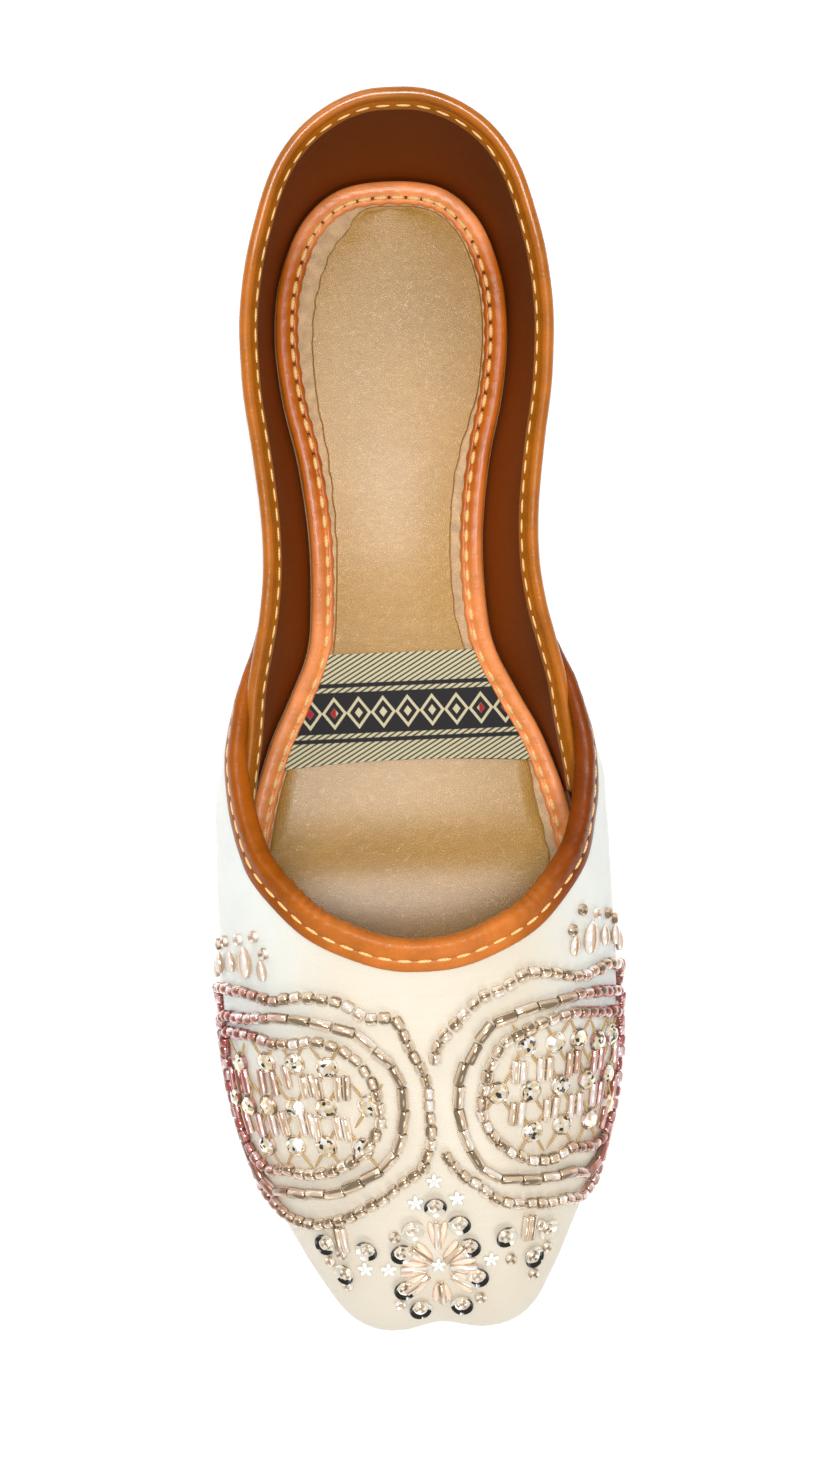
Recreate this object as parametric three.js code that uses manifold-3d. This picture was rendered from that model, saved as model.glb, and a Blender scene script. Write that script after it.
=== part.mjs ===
// A flat leather mojari shoe: sole, heel lift, hollow upper, footbed, bindings, label and bead rows.
// Millimetres. The toe points to -Y, the heel to +Y, and the sole rests on z = 0.
import * as THREE from "three";
import Module from "manifold-3d";

const wasm = await Module();
wasm.setup();

// Driving sizes of the last
const footLength = 241.6;
const ballWidth = 78;
const heelWidth = 52.6;
const heelLift = 6.4;
const toeSpring = 4;
const soleThickness = 3.8;
const toeHeight = 21;
const instepHeight = 45.5;
const collarHeight = 56;
const swing = 1.3;

// Driving sizes of the pieces
const wall = 1.7;
const joint = 0.3;
const soleMargin = 0.5;
const heelTaper = 1.2;
const collarLean = 5;
const vampBelly = 2.6;
const insoleThickness = 2.2;
const padRise = 1;
const suedeMargin = 2.4;
const insoleBindingWidth = 4.6;
const insoleBindingHeight = 1.5;
const bindingThickness = 0.75;
const collarBindingDrop = 3.4;
const throatBindingWidth = 6.2;
const labelLength = 24;
const labelThickness = 0.6;
const beadSize = 2.4;

// Half outline of the foot: along is the share of the foot's length from the heel,
// across the half width as a share of the ball's or the heel's width.
const footRows = [
  { along: 0, across: 0, of: heelWidth },
  { along: 0.0083, across: 0.228, of: heelWidth },
  { along: 0.037, across: 0.38, of: heelWidth },
  { along: 0.087, across: 0.475, of: heelWidth },
  { along: 0.137, across: 0.5, of: heelWidth },
  { along: 0.195, across: 0.475, of: heelWidth },
  { along: 0.252, across: 0.418, of: heelWidth },
  { along: 0.315, across: 0.384, of: heelWidth },
  { along: 0.368, across: 0.386, of: heelWidth },
  { along: 0.41, across: 0.41, of: heelWidth },
  { along: 0.45, across: 0.332, of: ballWidth },
  { along: 0.49, across: 0.394, of: ballWidth },
  { along: 0.55, across: 0.456, of: ballWidth },
  { along: 0.617, across: 0.491, of: ballWidth },
  { along: 0.7, across: 0.5, of: ballWidth },
  { along: 0.774, across: 0.492, of: ballWidth },
  { along: 0.832, across: 0.464, of: ballWidth },
  { along: 0.886, across: 0.41, of: ballWidth },
  { along: 0.927, across: 0.346, of: ballWidth },
  { along: 0.9665, across: 0.272, of: ballWidth },
  { along: 0.9885, across: 0.206, of: ballWidth },
  { along: 0.9975, across: 0.122, of: ballWidth },
  { along: 1, across: 0, of: ballWidth },
];

// Lift of the outsole's underside: a flat heel seat, the arch, a flat tread and the toe spring.
const liftRows = [
  { along: 0, heel: 1, toe: 0 },
  { along: 0.235, heel: 1, toe: 0 },
  { along: 0.32, heel: 0.84, toe: 0 },
  { along: 0.4, heel: 0.46, toe: 0 },
  { along: 0.47, heel: 0.1, toe: 0 },
  { along: 0.53, heel: 0, toe: 0 },
  { along: 0.76, heel: 0, toe: 0 },
  { along: 0.87, heel: 0, toe: 0.26 },
  { along: 0.95, heel: 0, toe: 0.66 },
  { along: 1, heel: 0, toe: 1 },
];

// The last's centre line bows a little, as a share of swing.
const bowRows = [
  { along: 0, bow: 0.45 },
  { along: 0.17, bow: -0.3 },
  { along: 0.35, bow: -0.8 },
  { along: 0.5, bow: -0.35 },
  { along: 0.7, bow: 0 },
  { along: 0.9, bow: 0.5 },
  { along: 1, bow: 1.2 },
];

// Quarter sections, heel back to front end: around is the share of the way along the foot's edge
// from heel to toe, height the topline as a share of collarHeight, lean and belly how far the
// topline and the middle of the wall stand out, as shares of collarLean.
const quarterRows = [
  { around: 0, height: 1, lean: 0.97, belly: 0.5 },
  { around: 0.01, height: 1, lean: 0.97, belly: 0.5 },
  { around: 0.05, height: 0.99, lean: 0.66, belly: 0.45 },
  { around: 0.12, height: 0.955, lean: 0.34, belly: 0.4 },
  { around: 0.2, height: 0.86, lean: 0.74, belly: 0.35 },
  { around: 0.28, height: 0.765, lean: 1.17, belly: 0.35 },
  { around: 0.36, height: 0.7, lean: 1.28, belly: 0.4 },
  { around: 0.41, height: 0.663, lean: 1.46, belly: 0.4 },
  { around: 0.45, height: 0.605, lean: 1.08, belly: 0.3 },
  { around: 0.486, height: 0.535, lean: 0.4, belly: 0.15 },
  { around: 0.535, height: 0.45, lean: -0.1, belly: 0.05 },
];

// Vamp sections, wing tip to toe: where the throat edge lies, as shares of ballWidth, footLength
// and instepHeight; how the wall leaves the foot, as shares of vampBelly and toeHeight; and how it
// reaches the edge: a share of the way back to the foot, then shares of vampBelly and instepHeight.
const vampRows = [
  { around: 0.355, edgeX: 0.3, edgeY: 0.341, edgeZ: 0.31, out: 0.4, up: 0.1, back: 0, swell: 0.1, drop: 0.03 },
  { around: 0.385, edgeX: 0.337, edgeY: 0.37, edgeZ: 0.48, out: 1.2, up: 0.15, back: 0, swell: 0.15, drop: 0.09 },
  { around: 0.42, edgeX: 0.377, edgeY: 0.41, edgeZ: 0.637, out: 2.1, up: 0.2, back: 0, swell: 0.4, drop: 0.15 },
  { around: 0.46, edgeX: 0.43, edgeY: 0.458, edgeZ: 0.714, out: 3.1, up: 0.35, back: 0, swell: 1, drop: 0.2 },
  { around: 0.505, edgeX: 0.453, edgeY: 0.505, edgeZ: 0.752, out: 3.3, up: 0.45, back: 0, swell: 1.4, drop: 0.2 },
  { around: 0.56, edgeX: 0.44, edgeY: 0.545, edgeZ: 0.785, out: 3.1, up: 0.45, back: 0, swell: 2, drop: 0.2 },
  { around: 0.625, edgeX: 0.41, edgeY: 0.579, edgeZ: 0.828, out: 2.7, up: 0.45, back: 0.3, swell: 1.35, drop: 0.2 },
  { around: 0.7, edgeX: 0.335, edgeY: 0.61, edgeZ: 0.892, out: 2.7, up: 0.45, back: 0.45, swell: 1.9, drop: 0.2 },
  { around: 0.77, edgeX: 0.257, edgeY: 0.633, edgeZ: 0.945, out: 2.9, up: 0.5, back: 0.5, swell: 1.5, drop: 0.2 },
  { around: 0.84, edgeX: 0.174, edgeY: 0.6465, edgeZ: 0.978, out: 3.2, up: 0.6, back: 0.5, swell: 0.8, drop: 0.2 },
  { around: 0.91, edgeX: 0.092, edgeY: 0.6556, edgeZ: 0.993, out: 4.2, up: 0.66, back: 0.5, swell: 0, drop: 0.2 },
  { around: 0.955, edgeX: 0.044, edgeY: 0.658, edgeZ: 0.998, out: 5.9, up: 0.68, back: 0.5, swell: 0, drop: 0.2 },
  { around: 1, edgeX: 0, edgeY: 0.6585, edgeZ: 1, out: 5.1, up: 0.68, back: 0.5, swell: 0, drop: 0.2 },
];

// Outer bead row of the medallion on each side of the vamp: around as in the tables above, up the
// share of the way from the sole to the throat edge. The other rows are drawn in to the middle.
const medallionMiddle = { around: 0.81, up: 0.5 };
const medallionRows = [
  { around: 0.665, up: 0.16 },
  { around: 0.69, up: 0.38 },
  { around: 0.735, up: 0.62 },
  { around: 0.79, up: 0.79 },
  { around: 0.85, up: 0.87 },
  { around: 0.92, up: 0.88 },
  { around: 0.97, up: 0.84 },
  { around: 0.986, up: 0.74 },
  { around: 0.975, up: 0.64 },
  { around: 0.93, up: 0.5 },
  { around: 0.875, up: 0.32 },
  { around: 0.81, up: 0.14 },
  { around: 0.735, up: 0.1 },
];
const beadRings = [
  { name: "outer", reach: 1 },
  { name: "middle", reach: 0.83 },
  { name: "inner", reach: 0.64 },
];
const flowerMiddle = 0.44;
const flowerReach = 9;
const flowerPetals = 8;

const leather = (name, colour, roughness) =>
  new THREE.MeshStandardMaterial({ name, color: colour, roughness, metalness: 0 });
const ivory = leather("ivory leather", 0xe9e4da, 0.45);
const tan = leather("tan binding", 0xc8701e, 0.4);
const footbedBeige = leather("footbed leather", 0xc4a57a, 0.5);
const soleTan = leather("sole leather", 0xb98a57, 0.6);
const woven = leather("woven label", 0xd8cfa8, 0.85);
const beadRose = leather("glass beads", 0xd9b8a6, 0.2);

const heelEnd = footLength / 2 - (collarLean - 0.75 * vampBelly) / 2;
const yAt = (along) => heelEnd - along * footLength;
const alongAt = (y) => (heelEnd - y) / footLength;

// Slope of a table's column at a row, level where the column turns, so that no curve overshoots.
function slopeAt(rows, key, column, k) {
  const rise = (i) => (rows[i + 1][column] - rows[i][column]) / (rows[i + 1][key] - rows[i][key]);
  if (k === 0) return rise(0);
  if (k === rows.length - 1) return rise(k - 1);
  const before = rise(k - 1);
  const after = rise(k);
  return before * after <= 0 ? 0 : (2 * before * after) / (before + after);
}

// All columns of a table at a place between its rows, on a smooth curve through them.
function rowAt(rows, key, place) {
  const last = rows.length - 2;
  let k = 0;
  while (k < last && rows[k + 1][key] <= place) k += 1;
  const a = rows[k];
  const b = rows[k + 1];
  const span = b[key] - a[key];
  const t = THREE.MathUtils.clamp((place - a[key]) / span, 0, 1);
  const s = 1 - t;
  const row = {};
  for (const column of Object.keys(a)) {
    const ends = s * s * (1 + 2 * t) * a[column] + t * t * (3 - 2 * t) * b[column];
    const leave = slopeAt(rows, key, column, k) * span;
    const arrive = slopeAt(rows, key, column, k + 1) * span;
    row[column] = ends + s * s * t * leave - t * t * s * arrive;
  }
  return row;
}

// The foot's outline as one closed curve, half of it on each side.
const halfOutline = footRows.map((r) => new THREE.Vector3(r.across * r.of, yAt(r.along), 0));
const otherHalf = halfOutline.slice(1, -1).reverse().map((p) => new THREE.Vector3(-p.x, p.y, 0));
const outline = new THREE.CatmullRomCurve3([...halfOutline, ...otherHalf], true);
outline.arcLengthDivisions = 1000;

// Point of the outline at a share of the way from heel to toe, moved outwards by offset.
// Side is 1 on the right and -1 on the left.
function outwardAt(side, around) {
  if (around === 0 || around === 1) return new THREE.Vector3(0, 1 - 2 * around, 0);
  const run = outline.getTangentAt(around / 2);
  return new THREE.Vector3(-run.y * side, run.x, 0).normalize();
}

function footAt(side, around, offset) {
  const p = outline.getPointAt(around / 2);
  p.x *= side;
  return p.addScaledVector(outwardAt(side, around), offset);
}

function soleUnder(y) {
  const row = rowAt(liftRows, "along", alongAt(y));
  return row.heel * heelLift + row.toe * toeSpring;
}
const soleTop = (y) => soleUnder(y) + soleThickness;
const upperFoot = (y) => soleTop(y) + joint;

// The wings of the vamp lie over the quarter, so their foot stands out by lap.
const lap = 0.7 * wall;
const ease = THREE.MathUtils.smoothstep;
const lapAt = (around) => lap * ease(around, 0.27, 0.34) * (1 - ease(around, 0.5, 0.6));
const quarterFront = quarterRows.at(-1).around;
const wingTip = vampRows[0].around;

// Outer face of the quarter: place is -1 at the left front end, 0 at the heel, 1 at the right.
function quarterSkin(place, t) {
  const side = place < 0 ? -1 : 1;
  const around = Math.abs(place) * quarterFront;
  const row = rowAt(quarterRows, "around", around);
  const stand = collarLean * (row.lean * t + row.belly * Math.sin(Math.PI * t));
  const p = footAt(side, around, stand);
  const low = upperFoot(footAt(side, around, 0).y);
  p.z = low + t * (row.height * collarHeight - low);
  return p;
}

// Outer face of the vamp: place is -1 at the left wing tip, 0 at the toe, 1 at the right wing tip.
function vampSkin(place, t) {
  const side = place < 0 ? -1 : 1;
  const around = 1 - Math.abs(place) * (1 - wingTip);
  const row = rowAt(vampRows, "around", around);
  const foot = footAt(side, around, lapAt(around));
  foot.z = upperFoot(foot.y);
  const edge = new THREE.Vector3(side * row.edgeX * ballWidth, yAt(row.edgeY), row.edgeZ * instepHeight);
  const out = outwardAt(side, around);
  const low = foot.clone().addScaledVector(out, row.out * vampBelly);
  low.z += row.up * toeHeight;
  const high = edge.clone().lerp(foot, row.back);
  high.addScaledVector(out, row.swell * vampBelly);
  high.z = edge.z - row.drop * instepHeight;
  return new THREE.CubicBezierCurve3(foot, low, high, edge).getPoint(t);
}

// Outward normal of a skin; at the foot it is level, so that the wall stands flat on the sole.
function normalOf(skin, place, t) {
  const step = 0.004;
  const across = skin(Math.min(place + step, 1), t).sub(skin(Math.max(place - step, -1), t));
  const up = skin(place, Math.min(t + step, 1)).sub(skin(place, Math.max(t - step, 0)));
  const n = skin === vampSkin ? up.cross(across).negate() : up.cross(across);
  if (t === 0) n.z = 0;
  return n.normalize();
}

// A point off a skin, depth along its normal.
function offSkin(skin, place, t, depth) {
  return skin(place, t).addScaledVector(normalOf(skin, place, t), depth);
}

const swayAt = (y) => swing * rowAt(bowRows, "along", alongAt(y)).bow;
const spread = (from, to, count) => Array.from({ length: count }, (_, i) => from + ((to - from) * i) / (count - 1));

// Closed geometry from triangles of points: equal points are merged and empty triangles left out,
// and every point is moved sideways with the last's centre line.
function closedGeometry(triangles) {
  const index = new Map();
  const vertices = [];
  const faces = [];
  const idOf = (p) => {
    const key = [p.x, p.y, p.z].map((value) => Math.round(value * 1e4)).join();
    if (!index.has(key)) {
      index.set(key, index.size);
      vertices.push(p.x + swayAt(p.y), p.y, p.z);
    }
    return index.get(key);
  };
  for (const triangle of triangles) {
    const [a, b, c] = triangle.map(idOf);
    if (a !== b && b !== c && c !== a) faces.push(a, b, c);
  }
  const geometry = new THREE.BufferGeometry();
  geometry.setAttribute("position", new THREE.BufferAttribute(new Float32Array(vertices), 3));
  geometry.setIndex(faces);
  return geometry;
}

// Solid through sections of equal length, each a closed ring of points. Ends that come together
// in a line need no cap, and a row of sections that closes on itself is a ring.
function loft(sections, { ring = false, capStart = false, capEnd = false } = {}) {
  const triangles = [];
  const quad = (a, b, c, d) => triangles.push([a, b, c], [a, c, d]);
  const spans = ring ? sections.length : sections.length - 1;
  for (let i = 0; i < spans; i += 1) {
    const here = sections[i];
    const next = sections[(i + 1) % sections.length];
    here.forEach((p, k) => {
      const j = (k + 1) % here.length;
      quad(p, here[j], next[j], next[k]);
    });
  }
  const cap = (s, flip) => {
    for (let k = 0; k < s.length / 2 - 1; k += 1) {
      const j = s.length - 1 - k;
      if (flip) quad(s[k], s[k + 1], s[j - 1], s[j]);
      else quad(s[j], s[j - 1], s[k + 1], s[k]);
    }
  };
  if (capStart) cap(sections[0], false);
  if (capEnd) cap(sections.at(-1), true);
  return outwards(closedGeometry(triangles));
}

// The same geometry with its faces turned outwards.
function outwards(geometry) {
  const p = geometry.getAttribute("position");
  const index = geometry.getIndex().array;
  const [a, b, c] = [new THREE.Vector3(), new THREE.Vector3(), new THREE.Vector3()];
  let volume = 0;
  for (let i = 0; i < index.length; i += 3) {
    a.fromBufferAttribute(p, index[i]);
    b.fromBufferAttribute(p, index[i + 1]);
    c.fromBufferAttribute(p, index[i + 2]);
    volume += a.dot(b.cross(c));
  }
  if (volume < 0) {
    for (let i = 0; i < index.length; i += 3) [index[i + 1], index[i + 2]] = [index[i + 2], index[i + 1]];
  }
  return geometry;
}

function toManifold(geometry) {
  return new wasm.Manifold(
    new wasm.Mesh({
      numProp: 3,
      vertProperties: geometry.getAttribute("position").array,
      triVerts: new Uint32Array(geometry.getIndex().array),
    }),
  );
}

function fromManifold(solid) {
  const mesh = solid.getMesh();
  const geometry = new THREE.BufferGeometry();
  geometry.setAttribute("position", new THREE.BufferAttribute(mesh.vertProperties, 3));
  geometry.setIndex(new THREE.BufferAttribute(mesh.triVerts, 1));
  return geometry;
}

// Slab under the foot. For each share of the way from heel to toe, edges gives half of its section
// as insets from the foot's outline and heights, from the underside round to the top.
function slab(stations, edges, options) {
  const sections = stations.map((around) => {
    const half = (side) => edges(around).map(({ inset, z }) => {
      const p = footAt(side, around, -inset);
      p.z = z(p.y);
      return p;
    });
    return [...half(-1).reverse(), ...half(1)];
  });
  return loft(sections, options);
}

function shell(skin, stations, levels) {
  const sections = stations.map((place) => [
    ...levels.map((t) => offSkin(skin, place, t, 0)),
    ...levels.toReversed().map((t) => offSkin(skin, place, t, -wall)),
  ]);
  return loft(sections, { capStart: true, capEnd: true });
}

// Sections of the upper; the bindings share them, so that their facets run side by side.
const quarterStations = spread(-1, 1, 51);
const vampStations = spread(-1, 1, 61);

function upper() {
  const quarter = shell(quarterSkin, quarterStations, spread(0, 1, 7));
  const vamp = shell(vampSkin, vampStations, spread(0, 1, 11));
  return fromManifold(toManifold(quarter).add(toManifold(vamp)));
}

// The outsole stands out by soleMargin all round, and its lower edge is rounded.
function outsole() {
  const bevel = 0.25 * soleThickness;
  return slab(spread(0, 1, 45), (around) => {
    const side = -soleMargin - lapAt(around);
    return [
      { inset: side + bevel, z: (y) => soleUnder(y) },
      { inset: side, z: (y) => soleUnder(y) + bevel },
      { inset: side, z: (y) => soleTop(y) - 0.4 * bevel },
      { inset: side + 0.4 * bevel, z: (y) => soleTop(y) },
    ];
  });
}

// The heel lift lies under the flat seat of the outsole and narrows downwards.
const breast = 0.92 * liftRows[1].along;
function heel() {
  const top = heelLift - joint;
  return slab(spread(0, breast, 19), () => [
    { inset: heelTaper - soleMargin, z: () => 0 },
    { inset: -soleMargin, z: () => top },
  ], { capEnd: true });
}

// Insets and heights of what lies inside the upper, from the wall inwards.
const insoleEdge = wall + joint;
const suedeAt = (around) => suedeMargin * (1 - ease(around, 0.25, 0.45));
const trimAt = (around) => insoleBindingWidth * (1 - ease(around, 0.64, 0.74));
const padEdgeAt = (around) => insoleEdge + trimAt(around) + suedeAt(around) + 2 * joint;
const rimTop = (y) => upperFoot(y) + insoleThickness;
const padTop = (y) => rimTop(y) + padRise;

function insole() {
  return slab(spread(0, 1, 45), (around) => [
    { inset: insoleEdge, z: upperFoot },
    { inset: insoleEdge, z: rimTop },
    { inset: padEdgeAt(around), z: rimTop },
    { inset: padEdgeAt(around) + padRise, z: padTop },
  ]);
}

// Leather strip over the insole's rim, from the ball round the heel to the ball, with a piped
// outer edge and a sewn groove along its middle.
const trimFront = 0.62;
function insoleBinding() {
  const low = (y) => rimTop(y) + joint;
  const at = (share) => insoleEdge + share * insoleBindingWidth;
  const profile = [
    { inset: at(0), rise: 0.3 },
    { inset: at(0.08), rise: 0.85 },
    { inset: at(0.3), rise: 1 },
    { inset: at(0.52), rise: 0.55 },
    { inset: at(0.8), rise: 0.8 },
    { inset: at(1), rise: 0.35 },
  ];
  const sections = spread(-1, 1, 51).map((place) => {
    const ring = (rise) => profile.map((row) => {
      const p = footAt(place < 0 ? -1 : 1, Math.abs(place) * trimFront, -row.inset);
      p.z = low(p.y) + rise(row) * insoleBindingHeight;
      return p;
    });
    return [...ring((row) => row.rise), ...ring(() => 0).reverse()];
  });
  return loft(sections, { capStart: true, capEnd: true });
}

// The woven label lies across the pad, over the front of the waist.
const labelBack = 0.4165;
function label() {
  const back = yAt(labelBack);
  const low = (y) => padTop(y) + joint;
  const halfWidthAt = (y) => {
    let near = 0.3;
    let far = 0.6;
    for (let i = 0; i < 30; i += 1) {
      const middle = (near + far) / 2;
      if (footAt(1, middle, -padEdgeAt(middle) - padRise).y > y) near = middle;
      else far = middle;
    }
    return footAt(1, near, -padEdgeAt(near) - padRise).x;
  };
  const sections = spread(back, back - labelLength, 9).map((y) => {
    const x = halfWidthAt(y);
    const corner = (side, z) => new THREE.Vector3(side * x, y, z);
    return [
      corner(-1, low(y) + labelThickness),
      corner(-1, low(y)),
      corner(1, low(y)),
      corner(1, low(y) + labelThickness),
    ];
  });
  return loft(sections, { capStart: true, capEnd: true });
}

// Binding over the upper edge of a skin. Each row of its profile is a distance below the edge,
// above it where negative, and a depth out of the skin; rows pair the outside with the inside.
function edging(skin, stations, profileAt) {
  const sections = stations.map((place) => {
    const edge = skin(place, 1);
    const up = edge.clone().sub(skin(place, 0.98));
    const height = up.length() / 0.02;
    up.normalize();
    const normal = normalOf(skin, place, 1);
    const point = ({ down, depth }) => {
      if (down > 0) return offSkin(skin, place, 1 - down / height, depth);
      return edge.clone().addScaledVector(up, -down).addScaledVector(normal, depth);
    };
    const { outside, inside } = profileAt(place, height);
    return [...outside.map(point), ...inside.map(point).reverse()];
  });
  return loft(sections, { capStart: true, capEnd: true });
}

// The collar binding is a channel over the quarter's topline, as deep inside as outside.
const collarReach = 0.81;
function collarBinding() {
  const collarStations = quarterStations.filter((place) => Math.abs(place) < collarReach);
  const near = joint;
  const far = joint + bindingThickness;
  const leg = (depth) => [
    { down: collarBindingDrop, depth },
    { down: 0.4 * collarBindingDrop, depth },
    { down: 0, depth },
  ];
  const channel = (d) => [
    ...leg(d),
    { down: -0.75 * d, depth: 0.5 * d },
    { down: -d, depth: -wall / 2 },
    { down: -0.75 * d, depth: -wall - 0.5 * d },
    ...leg(-wall - d).reverse(),
  ];
  return edging(quarterSkin, collarStations, () => ({
    outside: channel(far),
    inside: channel(near),
  }));
}

// The throat binding is a band on the outside of the vamp, folded over its edge.
function throatBinding() {
  return edging(vampSkin, vampStations, (place, height) => {
    const around = 1 - Math.abs(place) * (1 - wingTip);
    const near = joint * (2 - ease(around, 0.4, 0.47));
    const far = near + bindingThickness;
    const width = Math.min(throatBindingWidth, 0.7 * height);
    const inward = wall * (0.1 + 0.9 * ease(around, 0.42, 0.55));
    const band = (d) => [
      { down: width, depth: d },
      { down: 0.5 * width, depth: d },
      { down: 0, depth: d },
      { down: -0.8 * d, depth: 0.3 * d },
      { down: -d, depth: -0.5 * inward },
      { down: -0.8 * d, depth: -inward },
    ];
    return { outside: band(far), inside: band(near) };
  });
}

// A row of beads as one raised, closed rope on the vamp.
function beadRow(side, reach) {
  const knots = medallionRows.map((row) => new THREE.Vector3(
    medallionMiddle.around + reach * (row.around - medallionMiddle.around),
    medallionMiddle.up + reach * (row.up - medallionMiddle.up),
    0,
  ));
  const path = new THREE.CatmullRomCurve3(knots, true);
  const radius = beadSize / 2;
  const centreAt = (share) => {
    const p = path.getPoint(share % 1);
    const place = (side * (1 - p.x)) / (1 - wingTip);
    const normal = normalOf(vampSkin, place, p.y);
    return { normal, centre: vampSkin(place, p.y).addScaledVector(normal, joint + radius) };
  };
  const count = 2 * knots.length;
  const sections = spread(0, 1, count + 1).slice(0, -1).map((share) => {
    const { normal, centre } = centreAt(share);
    const run = centreAt(share + 0.01).centre.sub(centreAt(share + 0.99).centre).normalize();
    const across = run.cross(normal).normalize();
    return [0, 0.25, 0.5, 0.75].map((turn) => {
      const angle = 2 * Math.PI * (turn + 0.125);
      const p = centre.clone().addScaledVector(across, radius * Math.cos(angle));
      return p.addScaledVector(normal, radius * Math.sin(angle));
    });
  });
  return loft(sections, { ring: true });
}

// The flower over the toe: a star of bead petals that follows the vamp.
function toeFlower() {
  const step = 0.05;
  const middle = vampSkin(0, flowerMiddle);
  const perPlace = vampSkin(step, flowerMiddle).distanceTo(middle) / step;
  const perUp = vampSkin(0, flowerMiddle + step).distanceTo(middle) / step;
  const at = (radius, angle, rise) => {
    const place = (radius * Math.sin(angle)) / perPlace;
    return offSkin(vampSkin, place, flowerMiddle + (radius * Math.cos(angle)) / perUp, rise);
  };
  const sections = spread(0, 1, 2 * flowerPetals + 1).slice(0, -1).map((share, i) => {
    const radius = flowerReach * (i % 2 ? 0.45 : 1);
    const angle = 2 * Math.PI * share;
    return [
      at(0, 0, beadSize),
      at(0, 0, 2 * joint),
      at(radius, angle, 2 * joint),
      at(radius, angle, 0.7 * beadSize),
    ];
  });
  return loft(sections, { ring: true });
}

const group = new THREE.Group();
function add(name, geometry, material) {
  const mesh = new THREE.Mesh(geometry, material);
  mesh.name = name;
  group.add(mesh);
}

add("outsole", outsole(), soleTan);
add("heel", heel(), soleTan);
add("upper", upper(), ivory);
add("insole", insole(), footbedBeige);
add("insole_binding", insoleBinding(), tan);
add("label", label(), woven);
add("collar_binding", collarBinding(), tan);
add("throat_binding", throatBinding(), tan);
for (const [hand, side] of [["left", -1], ["right", 1]]) {
  for (const { name, reach } of beadRings) add(`bead_row_${hand}_${name}`, beadRow(side, reach), beadRose);
}
add("toe_flower", toeFlower(), beadRose);

export default group;
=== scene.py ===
# A flat leather mojari shoe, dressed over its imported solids: white upper with bead work, brown
# lining, tan bindings, padded footbed with a woven label, leather sole and heel lift.
import math
import random
from bisect import bisect
from functools import lru_cache

import bmesh
import bpy
from bpy.props import FloatProperty, FloatVectorProperty, PointerProperty
from mathutils import Matrix, Vector


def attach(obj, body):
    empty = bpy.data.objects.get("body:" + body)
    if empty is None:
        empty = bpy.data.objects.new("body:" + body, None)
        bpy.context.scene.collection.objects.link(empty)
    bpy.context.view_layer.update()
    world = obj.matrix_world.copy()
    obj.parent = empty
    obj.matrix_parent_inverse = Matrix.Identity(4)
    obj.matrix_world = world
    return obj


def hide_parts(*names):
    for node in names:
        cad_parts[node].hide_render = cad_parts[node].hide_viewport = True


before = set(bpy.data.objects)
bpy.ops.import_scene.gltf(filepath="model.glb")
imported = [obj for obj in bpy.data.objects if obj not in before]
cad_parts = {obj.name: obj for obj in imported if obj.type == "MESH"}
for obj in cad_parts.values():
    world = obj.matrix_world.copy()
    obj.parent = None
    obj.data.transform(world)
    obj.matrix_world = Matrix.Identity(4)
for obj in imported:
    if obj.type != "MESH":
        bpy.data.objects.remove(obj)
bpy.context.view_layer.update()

bl_info = {
    "name": "Mojari shoe",
    "version": (1, 0, 0),
    "blender": (4, 5, 0),
    "location": "3D View > Sidebar > Mojari",
    "description": "Builds a beaded leather mojari shoe over its solids",
    "category": "Add Mesh",
}

MM = 0.001
TINY = 0.05 * MM
MERGE = 0.001 * MM


def length(name, description, millimetres):
    """A size in metres that a user may change."""
    return FloatProperty(
        name=name, description=description, default=millimetres * MM, min=0.0, unit="LENGTH", precision=5
    )


def linear(level):
    """Linear light of one channel given as 0 to 255 in sRGB."""
    share = level / 255
    return share / 12.92 if share <= 0.04045 else ((share + 0.055) / 1.055) ** 2.4


def colour(name, description, red, green, blue):
    """A colour, given in sRGB, that a user may change."""
    return FloatVectorProperty(
        name=name,
        description=description,
        default=(linear(red), linear(green), linear(blue), 1.0),
        size=4,
        min=0.0,
        max=1.0,
        subtype="COLOR",
    )


class MojariSizes(bpy.types.PropertyGroup):
    """Sizes of the last and of the pieces built on it."""

    foot_length: length("Foot length", "Length of the foot's outline at the sole", 241.6)
    ball_width: length("Ball width", "Width of the foot's outline at the ball", 78)
    heel_width: length("Heel width", "Width of the foot's outline at the heel", 52.6)
    heel_lift: length("Heel lift", "Height of the heel lift", 6.4)
    toe_spring: length("Toe spring", "Lift of the sole under the toe tip", 4)
    sole_thickness: length("Sole thickness", "Thickness of the outsole", 3.8)
    toe_height: length("Toe height", "Height that the vamp's wall is shaped from", 21)
    instep_height: length("Instep height", "Height of the throat's middle over the floor", 45.5)
    collar_height: length("Collar height", "Height of the topline at the heel", 56)
    swing: length("Swing", "Sideways bow of the centre line", 1.3)
    wall: length("Wall", "Thickness of the upper with its lining", 1.7)
    joint: length("Joint", "Gap between pieces that touch", 0.3)
    sole_margin: length("Sole margin", "How far the outsole stands out of the upper", 0.5)
    heel_taper: length("Heel taper", "How far the heel lift narrows downwards", 1.2)
    collar_lean: length("Collar lean", "How far the topline stands out at the heel", 5)
    vamp_belly: length("Vamp belly", "Measure of the vamp's roundness", 2.6)
    insole_thickness: length("Insole thickness", "Thickness of the insole's rim", 2.2)
    pad_rise: length("Pad rise", "Height of the pad over the rim", 1)
    trim_width: length("Insole binding width", "Width of the insole's binding", 4.6)
    trim_height: length("Insole binding height", "Height of the insole's binding", 1.5)
    throat_width: length("Throat binding width", "Width of the throat's binding", 6.2)
    label_length: length("Label length", "Length of the woven label along the shoe", 24)


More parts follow.
